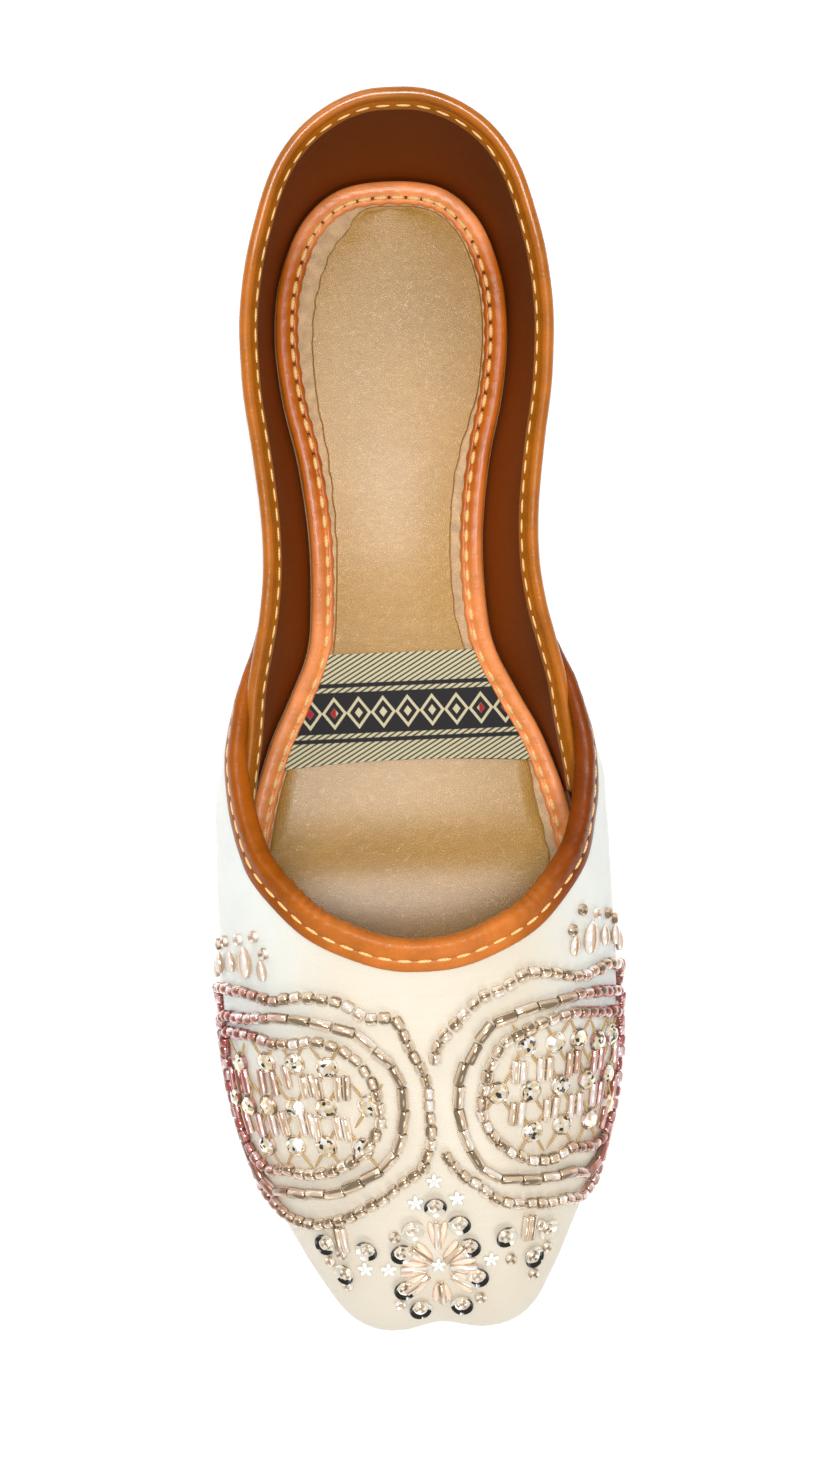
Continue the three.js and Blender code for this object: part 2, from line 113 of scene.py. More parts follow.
class MojariColours(bpy.types.PropertyGroup):
    """Colours of the leathers, threads and beads."""

    cream: colour("Cream", "Middle of the vamp", 219, 210, 193)
    # The sides' white is a cooler tint and, as painted side light, brighter than the cream.
    white: colour("White", "Sides of the upper", 226, 230, 226)
    lining: colour("Lining", "Inside of the quarter", 124, 56, 4)
    tan: colour("Tan", "Collar binding", 188, 105, 6)
    amber: colour("Amber", "Throat binding at its middle", 190, 108, 42)
    peach: colour("Peach", "Insole binding", 232, 142, 78)
    beige: colour("Beige", "Footbed leather", 182, 136, 58)
    suede: colour("Suede", "Bare rim beside the pad", 214, 178, 134)
    gold: colour("Gold thread", "Stitches of the bindings", 242, 198, 130)
    sole: colour("Sole leather", "Outsole and heel lift", 178, 132, 84)
    linen: colour("Linen", "Ground of the woven label", 222, 212, 172)
    ink: colour("Black yarn", "Pattern of the woven label", 28, 25, 28)
    red: colour("Red yarn", "Accents of the woven label", 176, 30, 34)
    champagne: colour("Champagne", "Beads along the middle of the vamp", 226, 198, 166)
    rose: colour("Rose", "Beads at the sides of the vamp", 172, 78, 74)
    # Smoke is what dark bead tones and painted dark reflections go towards.
    smoke: colour("Smoke", "Darkest of the beads", 104, 88, 64)


# Half outline of the foot: share of its length from the heel, half width as a share, and whether
# that is a share of the ball's width rather than the heel's.
FOOT_ROWS = (
    (0, 0, 0),
    (0.0083, 0.228, 0),
    (0.037, 0.38, 0),
    (0.087, 0.475, 0),
    (0.137, 0.5, 0),
    (0.195, 0.475, 0),
    (0.252, 0.418, 0),
    (0.315, 0.384, 0),
    (0.368, 0.386, 0),
    (0.41, 0.41, 0),
    (0.45, 0.332, 1),
    (0.49, 0.394, 1),
    (0.55, 0.456, 1),
    (0.617, 0.491, 1),
    (0.7, 0.5, 1),
    (0.774, 0.492, 1),
    (0.832, 0.464, 1),
    (0.886, 0.41, 1),
    (0.927, 0.346, 1),
    (0.9665, 0.272, 1),
    (0.9885, 0.206, 1),
    (0.9975, 0.122, 1),
    (1, 0, 1),
)

TABLES = {
    # share of the length, then shares of the heel lift and of the toe spring
    "lift": (
        (0, 1, 0),
        (0.235, 1, 0),
        (0.32, 0.84, 0),
        (0.4, 0.46, 0),
        (0.47, 0.1, 0),
        (0.53, 0, 0),
        (0.76, 0, 0),
        (0.87, 0, 0.26),
        (0.95, 0, 0.66),
        (1, 0, 1),
    ),
    # share of the length, then the centre line's bow as a share of the swing
    "bow": ((0, 0.45), (0.17, -0.3), (0.35, -0.8), (0.5, -0.35), (0.7, 0), (0.9, 0.5), (1, 1.2)),
    # share of the way round the foot's edge, then topline height, lean and belly
    "quarter": (
        (0, 1, 0.97, 0.5),
        (0.01, 1, 0.97, 0.5),
        (0.05, 0.99, 0.66, 0.45),
        (0.12, 0.955, 0.34, 0.4),
        (0.2, 0.86, 0.74, 0.35),
        (0.28, 0.765, 1.17, 0.35),
        (0.36, 0.7, 1.28, 0.4),
        (0.41, 0.663, 1.46, 0.4),
        (0.45, 0.605, 1.08, 0.3),
        (0.486, 0.535, 0.4, 0.15),
        (0.535, 0.45, -0.1, 0.05),
    ),
    # share of the way round, throat edge across, along and up, then out, up, back, swell, drop
    "vamp": (
        (0.355, 0.3, 0.341, 0.31, 0.4, 0.1, 0, 0.1, 0.03),
        (0.385, 0.337, 0.37, 0.48, 1.2, 0.15, 0, 0.15, 0.09),
        (0.42, 0.377, 0.41, 0.637, 2.1, 0.2, 0, 0.4, 0.15),
        (0.46, 0.43, 0.458, 0.714, 3.1, 0.35, 0, 1, 0.2),
        (0.505, 0.453, 0.505, 0.752, 3.3, 0.45, 0, 1.4, 0.2),
        (0.56, 0.44, 0.545, 0.785, 3.1, 0.45, 0, 2, 0.2),
        (0.625, 0.41, 0.579, 0.828, 2.7, 0.45, 0.3, 1.35, 0.2),
        (0.7, 0.335, 0.61, 0.892, 2.7, 0.45, 0.45, 1.9, 0.2),
        (0.77, 0.257, 0.633, 0.945, 2.9, 0.5, 0.5, 1.5, 0.2),
        (0.84, 0.174, 0.6465, 0.978, 3.2, 0.6, 0.5, 0.8, 0.2),
        (0.91, 0.092, 0.6556, 0.993, 4.2, 0.66, 0.5, 0, 0.2),
        (0.955, 0.044, 0.658, 0.998, 5.9, 0.68, 0.5, 0, 0.2),
        (1, 0, 0.6585, 1, 5.1, 0.68, 0.5, 0, 0.2),
    ),
}

# Bead rows of the two medallions as (place, up) on the vamp: place is -1 at the left wing tip, 0
# at the toe, 1 at the right wing tip, up is 0 at the sole and 1 at the throat. A row is closed
# unless it says open.
BEAD_ROWS = {
    "left_outer": (
        "seed", "closed",
        (-0.490, 0.27), (-0.429, 0.60), (-0.364, 0.73), (-0.310, 0.81), (-0.229, 0.86), (-0.160, 0.86),
        (-0.085, 0.88), (-0.045, 0.84), (-0.009, 0.79), (-0.004, 0.75), (-0.002, 0.69), (-0.020, 0.64),
        (-0.054, 0.61), (-0.085, 0.56), (-0.110, 0.50), (-0.150, 0.41), (-0.195, 0.31), (-0.229, 0.25),
        (-0.295, 0.14), (-0.403, 0.10), (-0.473, 0.16),
    ),
    "left_middle": (
        "bugle", "closed",
        (-0.440, 0.40), (-0.375, 0.64), (-0.319, 0.74), (-0.240, 0.80), (-0.184, 0.82), (-0.130, 0.82),
        (-0.085, 0.81), (-0.062, 0.78), (-0.052, 0.73), (-0.060, 0.67), (-0.081, 0.63), (-0.101, 0.59),
        (-0.135, 0.52), (-0.171, 0.46), (-0.216, 0.37), (-0.245, 0.28), (-0.310, 0.19), (-0.388, 0.17),
        (-0.442, 0.25),
    ),
    "left_inner": (
        "seed", "closed",
        (-0.422, 0.38), (-0.371, 0.58), (-0.326, 0.65), (-0.285, 0.71), (-0.254, 0.75), (-0.225, 0.77),
        (-0.155, 0.78), (-0.116, 0.77), (-0.092, 0.74), (-0.088, 0.70), (-0.101, 0.65), (-0.135, 0.58),
        (-0.180, 0.50), (-0.225, 0.43), (-0.260, 0.33), (-0.310, 0.25), (-0.372, 0.24), (-0.414, 0.30),
    ),
    "right_outer": (
        "seed", "open",
        (0.020, 0.665), (0.040, 0.63), (0.065, 0.60), (0.095, 0.54), (0.135, 0.47), (0.180, 0.38),
        (0.233, 0.24), (0.295, 0.14), (0.403, 0.10), (0.473, 0.16), (0.490, 0.32), (0.445, 0.59),
        (0.384, 0.73), (0.335, 0.82), (0.285, 0.87), (0.209, 0.88), (0.135, 0.89), (0.074, 0.87),
        (0.025, 0.84), (0.011, 0.81),
    ),
    "right_middle": (
        "bugle", "closed",
        (0.450, 0.38), (0.380, 0.67), (0.315, 0.76), (0.225, 0.82), (0.130, 0.83), (0.066, 0.79),
        (0.052, 0.73), (0.060, 0.67), (0.085, 0.61), (0.135, 0.53), (0.209, 0.41), (0.245, 0.30),
        (0.310, 0.19), (0.388, 0.17), (0.442, 0.25),
    ),
    "right_inner": (
        "seed", "closed",
        (0.422, 0.40), (0.360, 0.64), (0.305, 0.73), (0.220, 0.78), (0.171, 0.79), (0.115, 0.77),
        (0.090, 0.73), (0.092, 0.68), (0.119, 0.61), (0.175, 0.52), (0.225, 0.46), (0.260, 0.37),
        (0.310, 0.26), (0.372, 0.24), (0.414, 0.30),
    ),
}

# What fills each medallion: mounted stones and upright tube beads.
STONES = {
    "left": (
        (-0.325, 0.583), (-0.275, 0.667), (-0.212, 0.725), (-0.292, 0.500), (-0.246, 0.583), (-0.192, 0.650),
        (-0.108, 0.725), (-0.225, 0.508), (-0.171, 0.583), (-0.271, 0.400), (-0.371, 0.442), (-0.325, 0.400),
        (-0.104, 0.650), (-0.358, 0.290),
    ),
    "right": (
        (0.217, 0.750), (0.275, 0.692), (0.321, 0.625), (0.354, 0.533), (0.125, 0.725), (0.192, 0.667),
        (0.250, 0.608), (0.300, 0.525), (0.342, 0.408), (0.167, 0.600), (0.225, 0.533), (0.275, 0.433),
        (0.388, 0.433), (0.320, 0.330),
    ),
}
TUBES = {
    "left": (
        (-0.296, 0.575), (-0.279, 0.625), (-0.242, 0.650), (-0.230, 0.668), (-0.179, 0.708), (-0.162, 0.722),
        (-0.317, 0.533), (-0.346, 0.450), (-0.358, 0.400), (-0.375, 0.330), (-0.271, 0.483), (-0.292, 0.425),
        (-0.225, 0.575), (-0.209, 0.592), (-0.158, 0.642), (-0.140, 0.655), (-0.317, 0.342), (-0.342, 0.245),
        (-0.254, 0.525), (-0.217, 0.675), (-0.196, 0.600),
    ),
    "right": (
        (0.176, 0.728), (0.191, 0.714), (0.157, 0.655), (0.142, 0.670), (0.242, 0.667), (0.226, 0.686),
        (0.296, 0.600), (0.280, 0.620), (0.224, 0.588), (0.208, 0.604), (0.267, 0.517), (0.251, 0.545),
        (0.312, 0.433), (0.298, 0.470), (0.342, 0.492), (0.326, 0.528), (0.379, 0.367), (0.346, 0.300),
        (0.300, 0.350),
    ),
}

# Sprigs beside the throat: rings, and drops with their lengths in millimetres.
SPRIG_RINGS = (
    (-0.467, 0.758), (-0.429, 0.775), (-0.493, 0.650), (-0.520, 0.500), (-0.535, 0.360),
    (0.475, 0.800), (0.429, 0.817), (0.500, 0.690), (0.525, 0.560), (0.538, 0.420),
)
SPRIG_DROPS = (
    (-0.450, 0.685, 7.0), (-0.413, 0.745, 4.6), (-0.480, 0.570, 4.6), (-0.505, 0.420, 4.6),
    (-0.515, 0.290, 4.6), (0.450, 0.735, 7.0), (0.413, 0.792, 4.6), (0.483, 0.620, 4.6),
    (0.510, 0.480, 4.6), (0.520, 0.340, 4.6),
)

# Toe flower: its middle, its petals as (clockwise angle from the throat, start and length in
# millimetres), and what lies round it. A sequin is (place, up, clockwise angle of its rim's side of
# painted shade, tone of that side), where 1 is as light as the rest.
FLOWER = (0.0, 0.433)
PETALS = (
    (2, 4.6, 6.2), (47, 2.4, 5.4), (88, 2.6, 5.6), (128, 3.4, 6.2), (178, 5.4, 5.6), (229, 3.2, 6.0),
    (272, 2.6, 5.6), (313, 2.4, 5.4),
)
SEQUINS = (
    (0.000, 0.567, 0, 0.0), (0.033, 0.533, 45, 0.0), (0.042, 0.483, 80, 0.0),
    (0.046, 0.408, 110, 0.0), (0.025, 0.317, 150, 0.0), (-0.025, 0.308, 215, 0.0),
    (-0.042, 0.383, 250, 0.0), (-0.046, 0.475, 280, 0.0), (-0.033, 0.525, 315, 1.0),
    (-0.133, 0.383, 250, 0.0), (-0.083, 0.467, 60, 0.0), (-0.100, 0.370, 120, 0.0),
    (0.083, 0.483, 270, 0.0), (0.138, 0.383, 45, 0.8), (0.104, 0.383, 180, 0.0),
)
TOE_RINGS = (
    (-0.054, 0.508), (0.046, 0.342), (-0.046, 0.333), (-0.121, 0.350), (-0.096, 0.338), (-0.107, 0.410),
    (0.083, 0.425), (0.129, 0.342), (0.100, 0.335), (0.128, 0.420),
)
TOE_TUBES = ((-0.110, 0.445), (0.108, 0.455))
FLORETS = (
    (0.0, 0.433), (0.0, 0.612), (-0.029, 0.575), (0.033, 0.580), (0.064, 0.442), (-0.060, 0.430),
    (-0.083, 0.415),
)

# Steps of the gold thread through the bindings of the upper.
STITCH_PITCH = 3.9 * MM

# Section of the collar binding in millimetres as (down from the topline, depth outwards):
# band outside, then, after its roll, band inside and the way back under both.
COLLAR_OUTSIDE = (
    (3.4, 0.05), (3.35, 0.5), (3.1, 0.65), (1.7, 0.65), (1.35, 0.55), (1.05, 0.7), (0.7, 1.0),
)
COLLAR_INSIDE = (
    (0.75, -1.3), (1.0, -1.42), (1.3, -1.72), (2.0, -2.1), (3.2, -2.5), (3.6, -2.55), (3.85, -2.35),
)
COLLAR_BACK = ((3.9, -1.75), (2.2, -1.73), (1.5, -1.1), (0.6, -0.4), (1.2, 0.03), (2.6, 0.03))

# Band of the throat binding above its cut edge, as (share of its width, depth in millimetres).
THROAT_BAND = ((0.95, 0.8), (0.66, 0.88), (0.58, 0.68), (0.5, 0.95))

# Outsole as (inset from its side, rise) in millimetres, from its underside and from its top.
OUTSOLE_UNDER = (
    (7, 0), (4.5, 0), (4.1, 0.5), (3.4, 0.5), (3.0, 0), (0.9, 0), (0.3, 0.25), (0, 0.9),
)
OUTSOLE_TOP = ((0, -0.5), (0.15, -0.15), (0.5, 0), (4.0, 0))

# Heel lift as (share of its height, inset in millimetres).
HEEL_PROFILE = ((0, 0.5), (0.06, 0.1), (0.44, 0), (0.48, 0.25), (0.52, 0.25), (0.56, 0), (1, 0))

# Insole binding as (share of its width, share of its height), and its stitches on each side.
TRIM_PROFILE = (
    (0, 0.05), (0.0, 0.5), (0.05, 0.8), (0.14, 0.98), (0.27, 1.02), (0.46, 0.98), (0.6, 0.84),
    (0.68, 0.56), (0.74, 0.5), (0.8, 0.6), (0.88, 0.66), (0.95, 0.54), (1.0, 0.3), (1.02, 0.05),
)
TRIM_STITCHES = 44

# How far round the vamp from its middle a row has tubes, and what a tube, a seed and the gap
# after them take up along their thread, in millimetres.
TUBE_REACH = 0.36
TUBE_RUN = 4.5
SEED_RUN = 2.2
BEAD_GAP = 0.3

# How far a streak of painted reflection, light or dark, changes the tone of a bead.
REFLECTION_STREAK = 0.55

# Turned forms as (radius, height) rows in millimetres; a drop's are shares of its length.
STONE_PROFILE = ((0, -0.4), (1.95, -0.3), (2.12, 0.1), (1.25, 0.9), (0, 0.95))
DROP_PROFILE = (
    (0, -0.5), (0.2, -0.46), (0.3, -0.32), (0.34, -0.1), (0.3, 0.12), (0.2, 0.32), (0, 0.5),
)
SEQUIN_PROFILE = (
    (0.4, 0.08), (1.25, 0.0), (1.52, 0.06), (1.6, 0.1), (1.9, 0.22), (2.3, 0.55), (2.36, 0.48),
    (1.95, 0.06), (1.3, -0.12), (0.4, -0.04),
)

# Lamps as name, place, aim, width, length and watts.
LAMPS = (
    ("key", (-0.12, 0.1, 0.85), (0, 0, 0), 0.35, 0.35, 3.0),
    ("strip", (0.037, 0.045, 0.85), (0.037, 0.045, 0), 0.1, 0.36, 3.3),
    ("toe", (0.25, -0.75, 0.6), (0, -0.05, 0), 0.5, 0.5, 1.8),
    ("heel", (-0.3, 0.75, 0.6), (0, 0.05, 0), 0.5, 0.5, 2.0),
)

# Creases as (place, up, lean, half width round the shoe, half width upwards, depth in millimetres);
# a place is on one side only, and a trough has a negative depth.
CREASES = {
    "vamp": (
        (0, 0.2, 0, 0.03, 0.2, -1.5),
        (-0.066, 0.19, 0, 0.03, 0.13, 0.45),
        (0.066, 0.19, 0, 0.03, 0.13, 0.4),
        (0, 0.86, 0, 0.3, 0.07, -0.25),
        (-0.62, 0.62, 0.12, 0.02, 0.2, -0.35),
        (-0.74, 0.55, 0.1, 0.024, 0.22, -0.5),
        (-0.8, 0.55, 0.1, 0.03, 0.2, 0.3),
        (0.66, 0.6, -0.12, 0.022, 0.2, -0.45),
        (0.72, 0.58, -0.1, 0.03, 0.2, 0.3),
        (0.79, 0.5, -0.1, 0.024, 0.22, -0.4),
    ),
    "quarter": (
        (0.02, 0.55, 0, 0.03, 0.3, -0.45),
        (-0.07, 0.5, 0.03, 0.035, 0.3, 0.3),
        (0.12, 0.5, -0.03, 0.04, 0.3, 0.3),
        (-0.3, 0.5, 0.05, 0.03, 0.28, -0.35),
        (-0.55, 0.5, 0.08, 0.03, 0.25, -0.5),
        (-0.66, 0.45, 0.1, 0.026, 0.22, -0.4),
        (0.28, 0.45, -0.05, 0.03, 0.28, -0.3),
        (0.52, 0.5, -0.08, 0.03, 0.25, -0.55),
        (0.64, 0.45, -0.1, 0.026, 0.22, -0.35),
    ),
}

# Steps in which the foot's whole outline is measured.
OUTLINE_STEPS = 1000

# Where pieces end, as shares of the way round from heel to toe: quarter, vamp wings, insole
# binding and heel lift. The insole binding ends under the throat.
QUARTER_FRONT = TABLES["quarter"][-1][0]
WING_TIP = TABLES["vamp"][0][0]
TRIM_FRONT = 0.62
BREAST = 0.92 * TABLES["lift"][1][0]

# The collar binding's share of the quarter, which ends under the wings, and the back edge of
# the label as a share of the foot's length.
COLLAR_REACH = 0.995
LABEL_BACK = 0.4165


def slope(rows, column, k):
    """Slope of a table's column at a row, level where the column turns."""

    def rise(i):
        return (rows[i + 1][column] - rows[i][column]) / (rows[i + 1][0] - rows[i][0])

    if k == 0:
        return rise(0)
    if k == len(rows) - 1:
        return rise(k - 1)
    before, after = rise(k - 1), rise(k)
    return 0.0 if before * after <= 0 else 2 * before * after / (before + after)


@lru_cache(maxsize=None)
def row_at(table, place):
    """All columns of a table at a place between its rows."""
    rows = TABLES[table]
    k = 0
    while k < len(rows) - 2 and rows[k + 1][0] <= place:
        k += 1
    a, b = rows[k], rows[k + 1]
    span = b[0] - a[0]
    t = min(max((place - a[0]) / span, 0), 1)
    s = 1 - t
    return tuple(
        s * s * (1 + 2 * t) * a[c]
        + t * t * (3 - 2 * t) * b[c]
        + s * s * t * slope(rows, c, k) * span
        - t * t * s * slope(rows, c, k + 1) * span
        for c in range(1, len(a))
    )


def ease(value, low, high):
    """0 below low, 1 above high, smooth between."""
    t = min(max((value - low) / (high - low), 0), 1)
    return t * t * (3 - 2 * t)


def spread(low, high, count):
    """Evenly spaced numbers from low to high."""
    return [low + (high - low) * i / (count - 1) for i in range(count)]


def curve_point(p0, p1, p2, p3, w):
    """Centripetal curve through four points, at share w of the way from p1 to p2."""
    d0, d1, d2 = (math.sqrt(math.dist(a, b)) for a, b in ((p0, p1), (p1, p2), (p2, p3)))
    point = []
    for a, b, c, d in zip(p0, p1, p2, p3):
        leave = ((b - a) / d0 - (c - a) / (d0 + d1) + (c - b) / d1) * d1
        arrive = ((c - b) / d1 - (d - b) / (d1 + d2) + (d - c) / d2) * d1
        square = -3 * b + 3 * c - 2 * leave - arrive
        cube = 2 * b - 2 * c + leave + arrive
        point.append(b + leave * w + square * w * w + cube * w**3)
    return point


class Last:
    """The form that the shoe is made on, from its sizes: x across, toe to -y, sole on z = 0."""

    def __init__(self, sizes):
        for key in MojariSizes.__annotations__:
            setattr(self, key, getattr(sizes, key))
        self.heel_end = self.foot_length / 2 - (self.collar_lean - 0.75 * self.vamp_belly) / 2
        half = [
            (across * (self.ball_width if ball else self.heel_width), self.y_at(along))
            for along, across, ball in FOOT_ROWS
        ]
        loop = half + [(-x, y) for x, y in reversed(half[1:-1])]
        count = len(loop)
        self.rim = []
        for i in range(OUTLINE_STEPS + 1):
            place = count * i / OUTLINE_STEPS
            k = int(place)
            around = [loop[(k + j) % count] for j in (-1, 0, 1, 2)]
            self.rim.append(curve_point(*around, place - k))
        self.run = [0.0]
        for a, b in zip(self.rim, self.rim[1:]):
            self.run.append(self.run[-1] + math.dist(a, b))
        self.skin_normal = lru_cache(maxsize=None)(self.skin_normal)

    def y_at(self, along):
        """Place along the shoe of a share of the foot's length from the heel."""
        return self.heel_end - along * self.foot_length

    def along_at(self, y):
        """Share of the foot's length at a place along the shoe."""
        return (self.heel_end - y) / self.foot_length

    def rim_at(self, share):
        """Point of the whole outline at a share of its length."""
        goal = share * self.run[-1]
        k = min(max(bisect(self.run, goal) - 1, 0), OUTLINE_STEPS - 1)
        t = (goal - self.run[k]) / (self.run[k + 1] - self.run[k])
        a, b = self.rim[k], self.rim[k + 1]
        return a[0] + t * (b[0] - a[0]), a[1] + t * (b[1] - a[1])

    def outward(self, side, around):
        """Level direction away from the outline, on the right (1) or left (-1) side."""
        if around <= 0:
            return Vector((0, 1, 0))
        if around >= 1:
            return Vector((0, -1, 0))
        step = 0.0001
        a, b = self.rim_at(max(around / 2 - step, 0)), self.rim_at(around / 2 + step)
        return Vector(((a[1] - b[1]) * side, b[0] - a[0], 0)).normalized()

    def foot(self, side, around, offset=0.0):
        """Point of the outline from heel (0) to toe (1), moved outwards by offset."""
        x, y = self.rim_at(around / 2)
        return Vector((x * side, y, 0)) + self.outward(side, around) * offset

    def sole_under(self, y):
        """Height of the outsole's underside."""
        heel, toe = row_at("lift", self.along_at(y))
        return heel * self.heel_lift + toe * self.toe_spring

    def sole_top(self, y):
        """Height of the outsole's top."""
        return self.sole_under(y) + self.sole_thickness

    def upper_foot(self, y):
        """Height of the upper's foot, and of the insole's underside."""
        return self.sole_top(y) + self.joint

    def rim_top(self, y):
        """Height of the insole's rim."""
        return self.upper_foot(y) + self.insole_thickness

    def pad_top(self, y):
        """Height of the pad's edge."""
        return self.rim_top(y) + self.pad_rise

    def lap(self, around):
        """How far the wings of the vamp stand out over the quarter."""
        return 0.7 * self.wall * ease(around, 0.27, 0.34) * (1 - ease(around, 0.5, 0.6))

    def bend(self, point):
        """The same point moved sideways with the centre line."""
        bow = row_at("bow", self.along_at(point.y))[0]
        return point + Vector((self.swing * bow, 0, 0))

    def quarter(self, place, t):
        """Outer face of the quarter: place is -1 at the left front end, 0 at the heel."""
        side = -1 if place < 0 else 1
        around = abs(place) * QUARTER_FRONT
        height, lean, belly = row_at("quarter", around)
        stand = self.collar_lean * (lean * t + belly * math.sin(math.pi * t))
        point = self.foot(side, around, stand)
        low = self.upper_foot(self.foot(side, around).y)
        point.z = low + t * (height * self.collar_height - low)
        return point

    def vamp(self, place, t):
        """Outer face of the vamp: place is -1 at the left wing tip, 0 at the toe."""
        side = -1 if place < 0 else 1
        around = 1 - abs(place) * (1 - WING_TIP)
        across, along, high, out, up, back, swell, drop = row_at("vamp", around)
        foot = self.foot(side, around, self.lap(around))
        foot.z = self.upper_foot(foot.y)
        edge = Vector((side * across * self.ball_width, self.y_at(along), high * self.instep_height))
        outward = self.outward(side, around)
        low = foot + outward * (out * self.vamp_belly)
        low.z += up * self.toe_height
        top = edge.lerp(foot, back) + outward * (swell * self.vamp_belly)
        top.z = edge.z - drop * self.instep_height
        s = 1 - t
        return s**3 * foot + 3 * s * s * t * low + 3 * s * t * t * top + t**3 * edge

    def skin_normal(self, skin, place, t):
        """Outward direction of a skin, level at the foot."""
        face = getattr(self, skin)
        step = 0.004
        across = face(min(place + step, 1), t) - face(max(place - step, -1), t)
        up = face(place, min(t + step, 1)) - face(place, max(t - step, 0))
        normal = across.cross(up) if skin == "vamp" else up.cross(across)
        if t == 0:
            normal.z = 0
        return normal.normalized()

    def creased(self, skin, place, t):
        """How far a skin stands out at its placed creases, which fade at its edges."""
        total = 0.0
        for middle, up, lean, wide, high, depth in CREASES[skin]:
            across = (place - middle - lean * (t - up)) / wide
            along = (t - up) / high
            total += depth * math.exp(-across * across - along * along)
        return total * MM * ease(t, 0, 0.12) * (1 - ease(t, 0.8, 0.97))

    def off(self, skin, place, t, depth):
        """A point off a creased skin, depth along its outward direction."""
        stand = depth + self.creased(skin, place, t)
        return getattr(self, skin)(place, t) + self.skin_normal(skin, place, t) * stand

    def edge_frame(self, skin, place):
        """Edge point of a skin, the way up to it, its outward direction and the skin's height."""
        edge = getattr(self, skin)(place, 1)
        step = 0.02
        up = edge - getattr(self, skin)(place, 1 - step)
        return edge, up.normalized(), self.skin_normal(skin, place, 1), up.length / step

    def edge_point(self, skin, place, down, depth):
        """A point down a skin from its edge, or above it where down is negative."""
        edge, up, normal, height = self.edge_frame(skin, place)
        if down > 0:
            return self.off(skin, place, 1 - down / height, depth)
        return edge - up * down + normal * depth


def the_last():
    """The last in the sizes that are set in the scene."""
    return Last(bpy.context.scene.mojari_sizes)


# Meshes


def closed_strip(stations, ring_at):
    """A closed skin through rings of points, one at each station, bent from a flat grid."""
    rings = [ring_at(station) for station in stations]
    spans, count = len(rings) - 1, len(rings[0])
    bm = bmesh.new()
    bmesh.ops.create_grid(bm, x_segments=spans, y_segments=count, size=1)
    for vert in bm.verts:
        station = round((vert.co.x + 1) / 2 * spans)
        point = round((vert.co.y + 1) / 2 * count)
        vert.co = rings[station][point % count]
    bmesh.ops.remove_doubles(bm, verts=bm.verts, dist=MERGE)
    bmesh.ops.dissolve_degenerate(bm, edges=bm.edges, dist=MERGE)
    ends = [edge for edge in bm.edges if edge.is_boundary]
    bmesh.ops.holes_fill(bm, edges=ends, sides=0)
    bmesh.ops.recalc_face_normals(bm, faces=bm.faces)
    return bm


def make_piece(name, bm, materials, replaces=(), sharp=None):
    """The finished piece: its mesh, materials and body; the parts it replaces are hidden."""
    mesh = bpy.data.meshes.new(name)
    bm.to_mesh(mesh)
    bm.free()
    mesh.shade_smooth()
    if sharp is not None:
        mesh.set_sharp_from_angle(angle=math.radians(sharp))
    for material in materials:
        mesh.materials.append(material)
    piece = bpy.data.objects.new(name, mesh)
    bpy.context.scene.collection.objects.link(piece)
    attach(piece, "root")
    if replaces:
        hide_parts(*replaces)
    return piece


def lengths_along(samples):
    """How far along its path each sample lies; a sample starts with its point."""
    runs = [0.0]
    for a, b in zip(samples, samples[1:]):
        runs.append(runs[-1] + (b[0] - a[0]).length)
    return runs


def walk(samples, pitch):
    """Even steps along a path of (point, normal) samples: point, direction and normal at each."""
    runs = lengths_along(samples)
    count = max(int(round(runs[-1] / pitch)), 1)
    steps = []
    for i in range(count):
        goal = runs[-1] * (i + 0.5) / count
        k = min(max(bisect(runs, goal) - 1, 0), len(samples) - 2)
        t = (goal - runs[k]) / max(runs[k + 1] - runs[k], 1e-9)
        (a, na), (b, nb) = samples[k], samples[k + 1]
        steps.append((a.lerp(b, t), (b - a).normalized(), na.lerp(nb, t).normalized()))
    return steps


def frame_matrix(point, run, normal, size=(1, 1, 1)):
    """Places a form whose length is on z and whose top is on y along run, facing normal."""
    z = run.normalized()
    x = normal.cross(z).normalized()
    y = z.cross(x)
    turn = Matrix((x, y, z)).transposed().to_4x4()
    return Matrix.Translation(point) @ turn @ Matrix.Diagonal((*size, 1))


def add_copies(bm, form, matrices, tones=None):
    """Copies of a small form at each matrix, each with its own tone and streaks of painted reflection along
    it.
    """
    layer = bm.verts.layers.float.get("tone") or bm.verts.layers.float.new("tone")
    reflection_streaks = [REFLECTION_STREAK * math.sin(3 * math.atan2(v.co.y, v.co.x) + 0.7) for v in form.vertices]
    for i, matrix in enumerate(matrices):
        before = len(bm.verts)
        bm.from_mesh(form)
        bm.verts.ensure_lookup_table()
        fresh = bm.verts[before:]
        bmesh.ops.transform(bm, matrix=matrix, verts=fresh)
        for vert, reflection_streak in zip(fresh, reflection_streaks):
            vert[layer] = tones[i] + reflection_streak if tones else 0.5


def form_of(bm):
    """A small mesh kept for copying."""
    mesh = bpy.data.meshes.new("form")
    bm.to_mesh(mesh)
    bm.free()
    return mesh


def stitch_form():
    """One stitch of thread: a lozenge of unit length, thick in its middle."""
    bm = bmesh.new()
    bmesh.ops.create_uvsphere(bm, u_segments=8, v_segments=6, radius=0.5)
    return form_of(bm)


def copies_piece(name, form, matrices, material, tones=None, sharp=None):
    """A piece made only of copies of one form."""
    bm = bmesh.new()
    add_copies(bm, form, matrices, tones)
    make_piece(name, bm, [material], (), sharp)


def stitches(name, rows, material, size, pitch):
    """Stitches along rows of (point, normal) samples; size is length, width and height."""
    form = stitch_form()
    long, wide, high = size
    matrices = []
    for samples in rows:
        for point, run, normal in walk(samples, pitch):
            matrices.append(frame_matrix(point, run, normal, (wide, high, long)))
    copies_piece(name, form, matrices, material)
    bpy.data.meshes.remove(form)


# Materials


def feed(tree, socket, value):
    """Links an output to a socket, or sets a plain value on it."""
    if isinstance(value, bpy.types.NodeSocket):
        tree.links.new(value, socket)
    else:
        socket.default_value = value


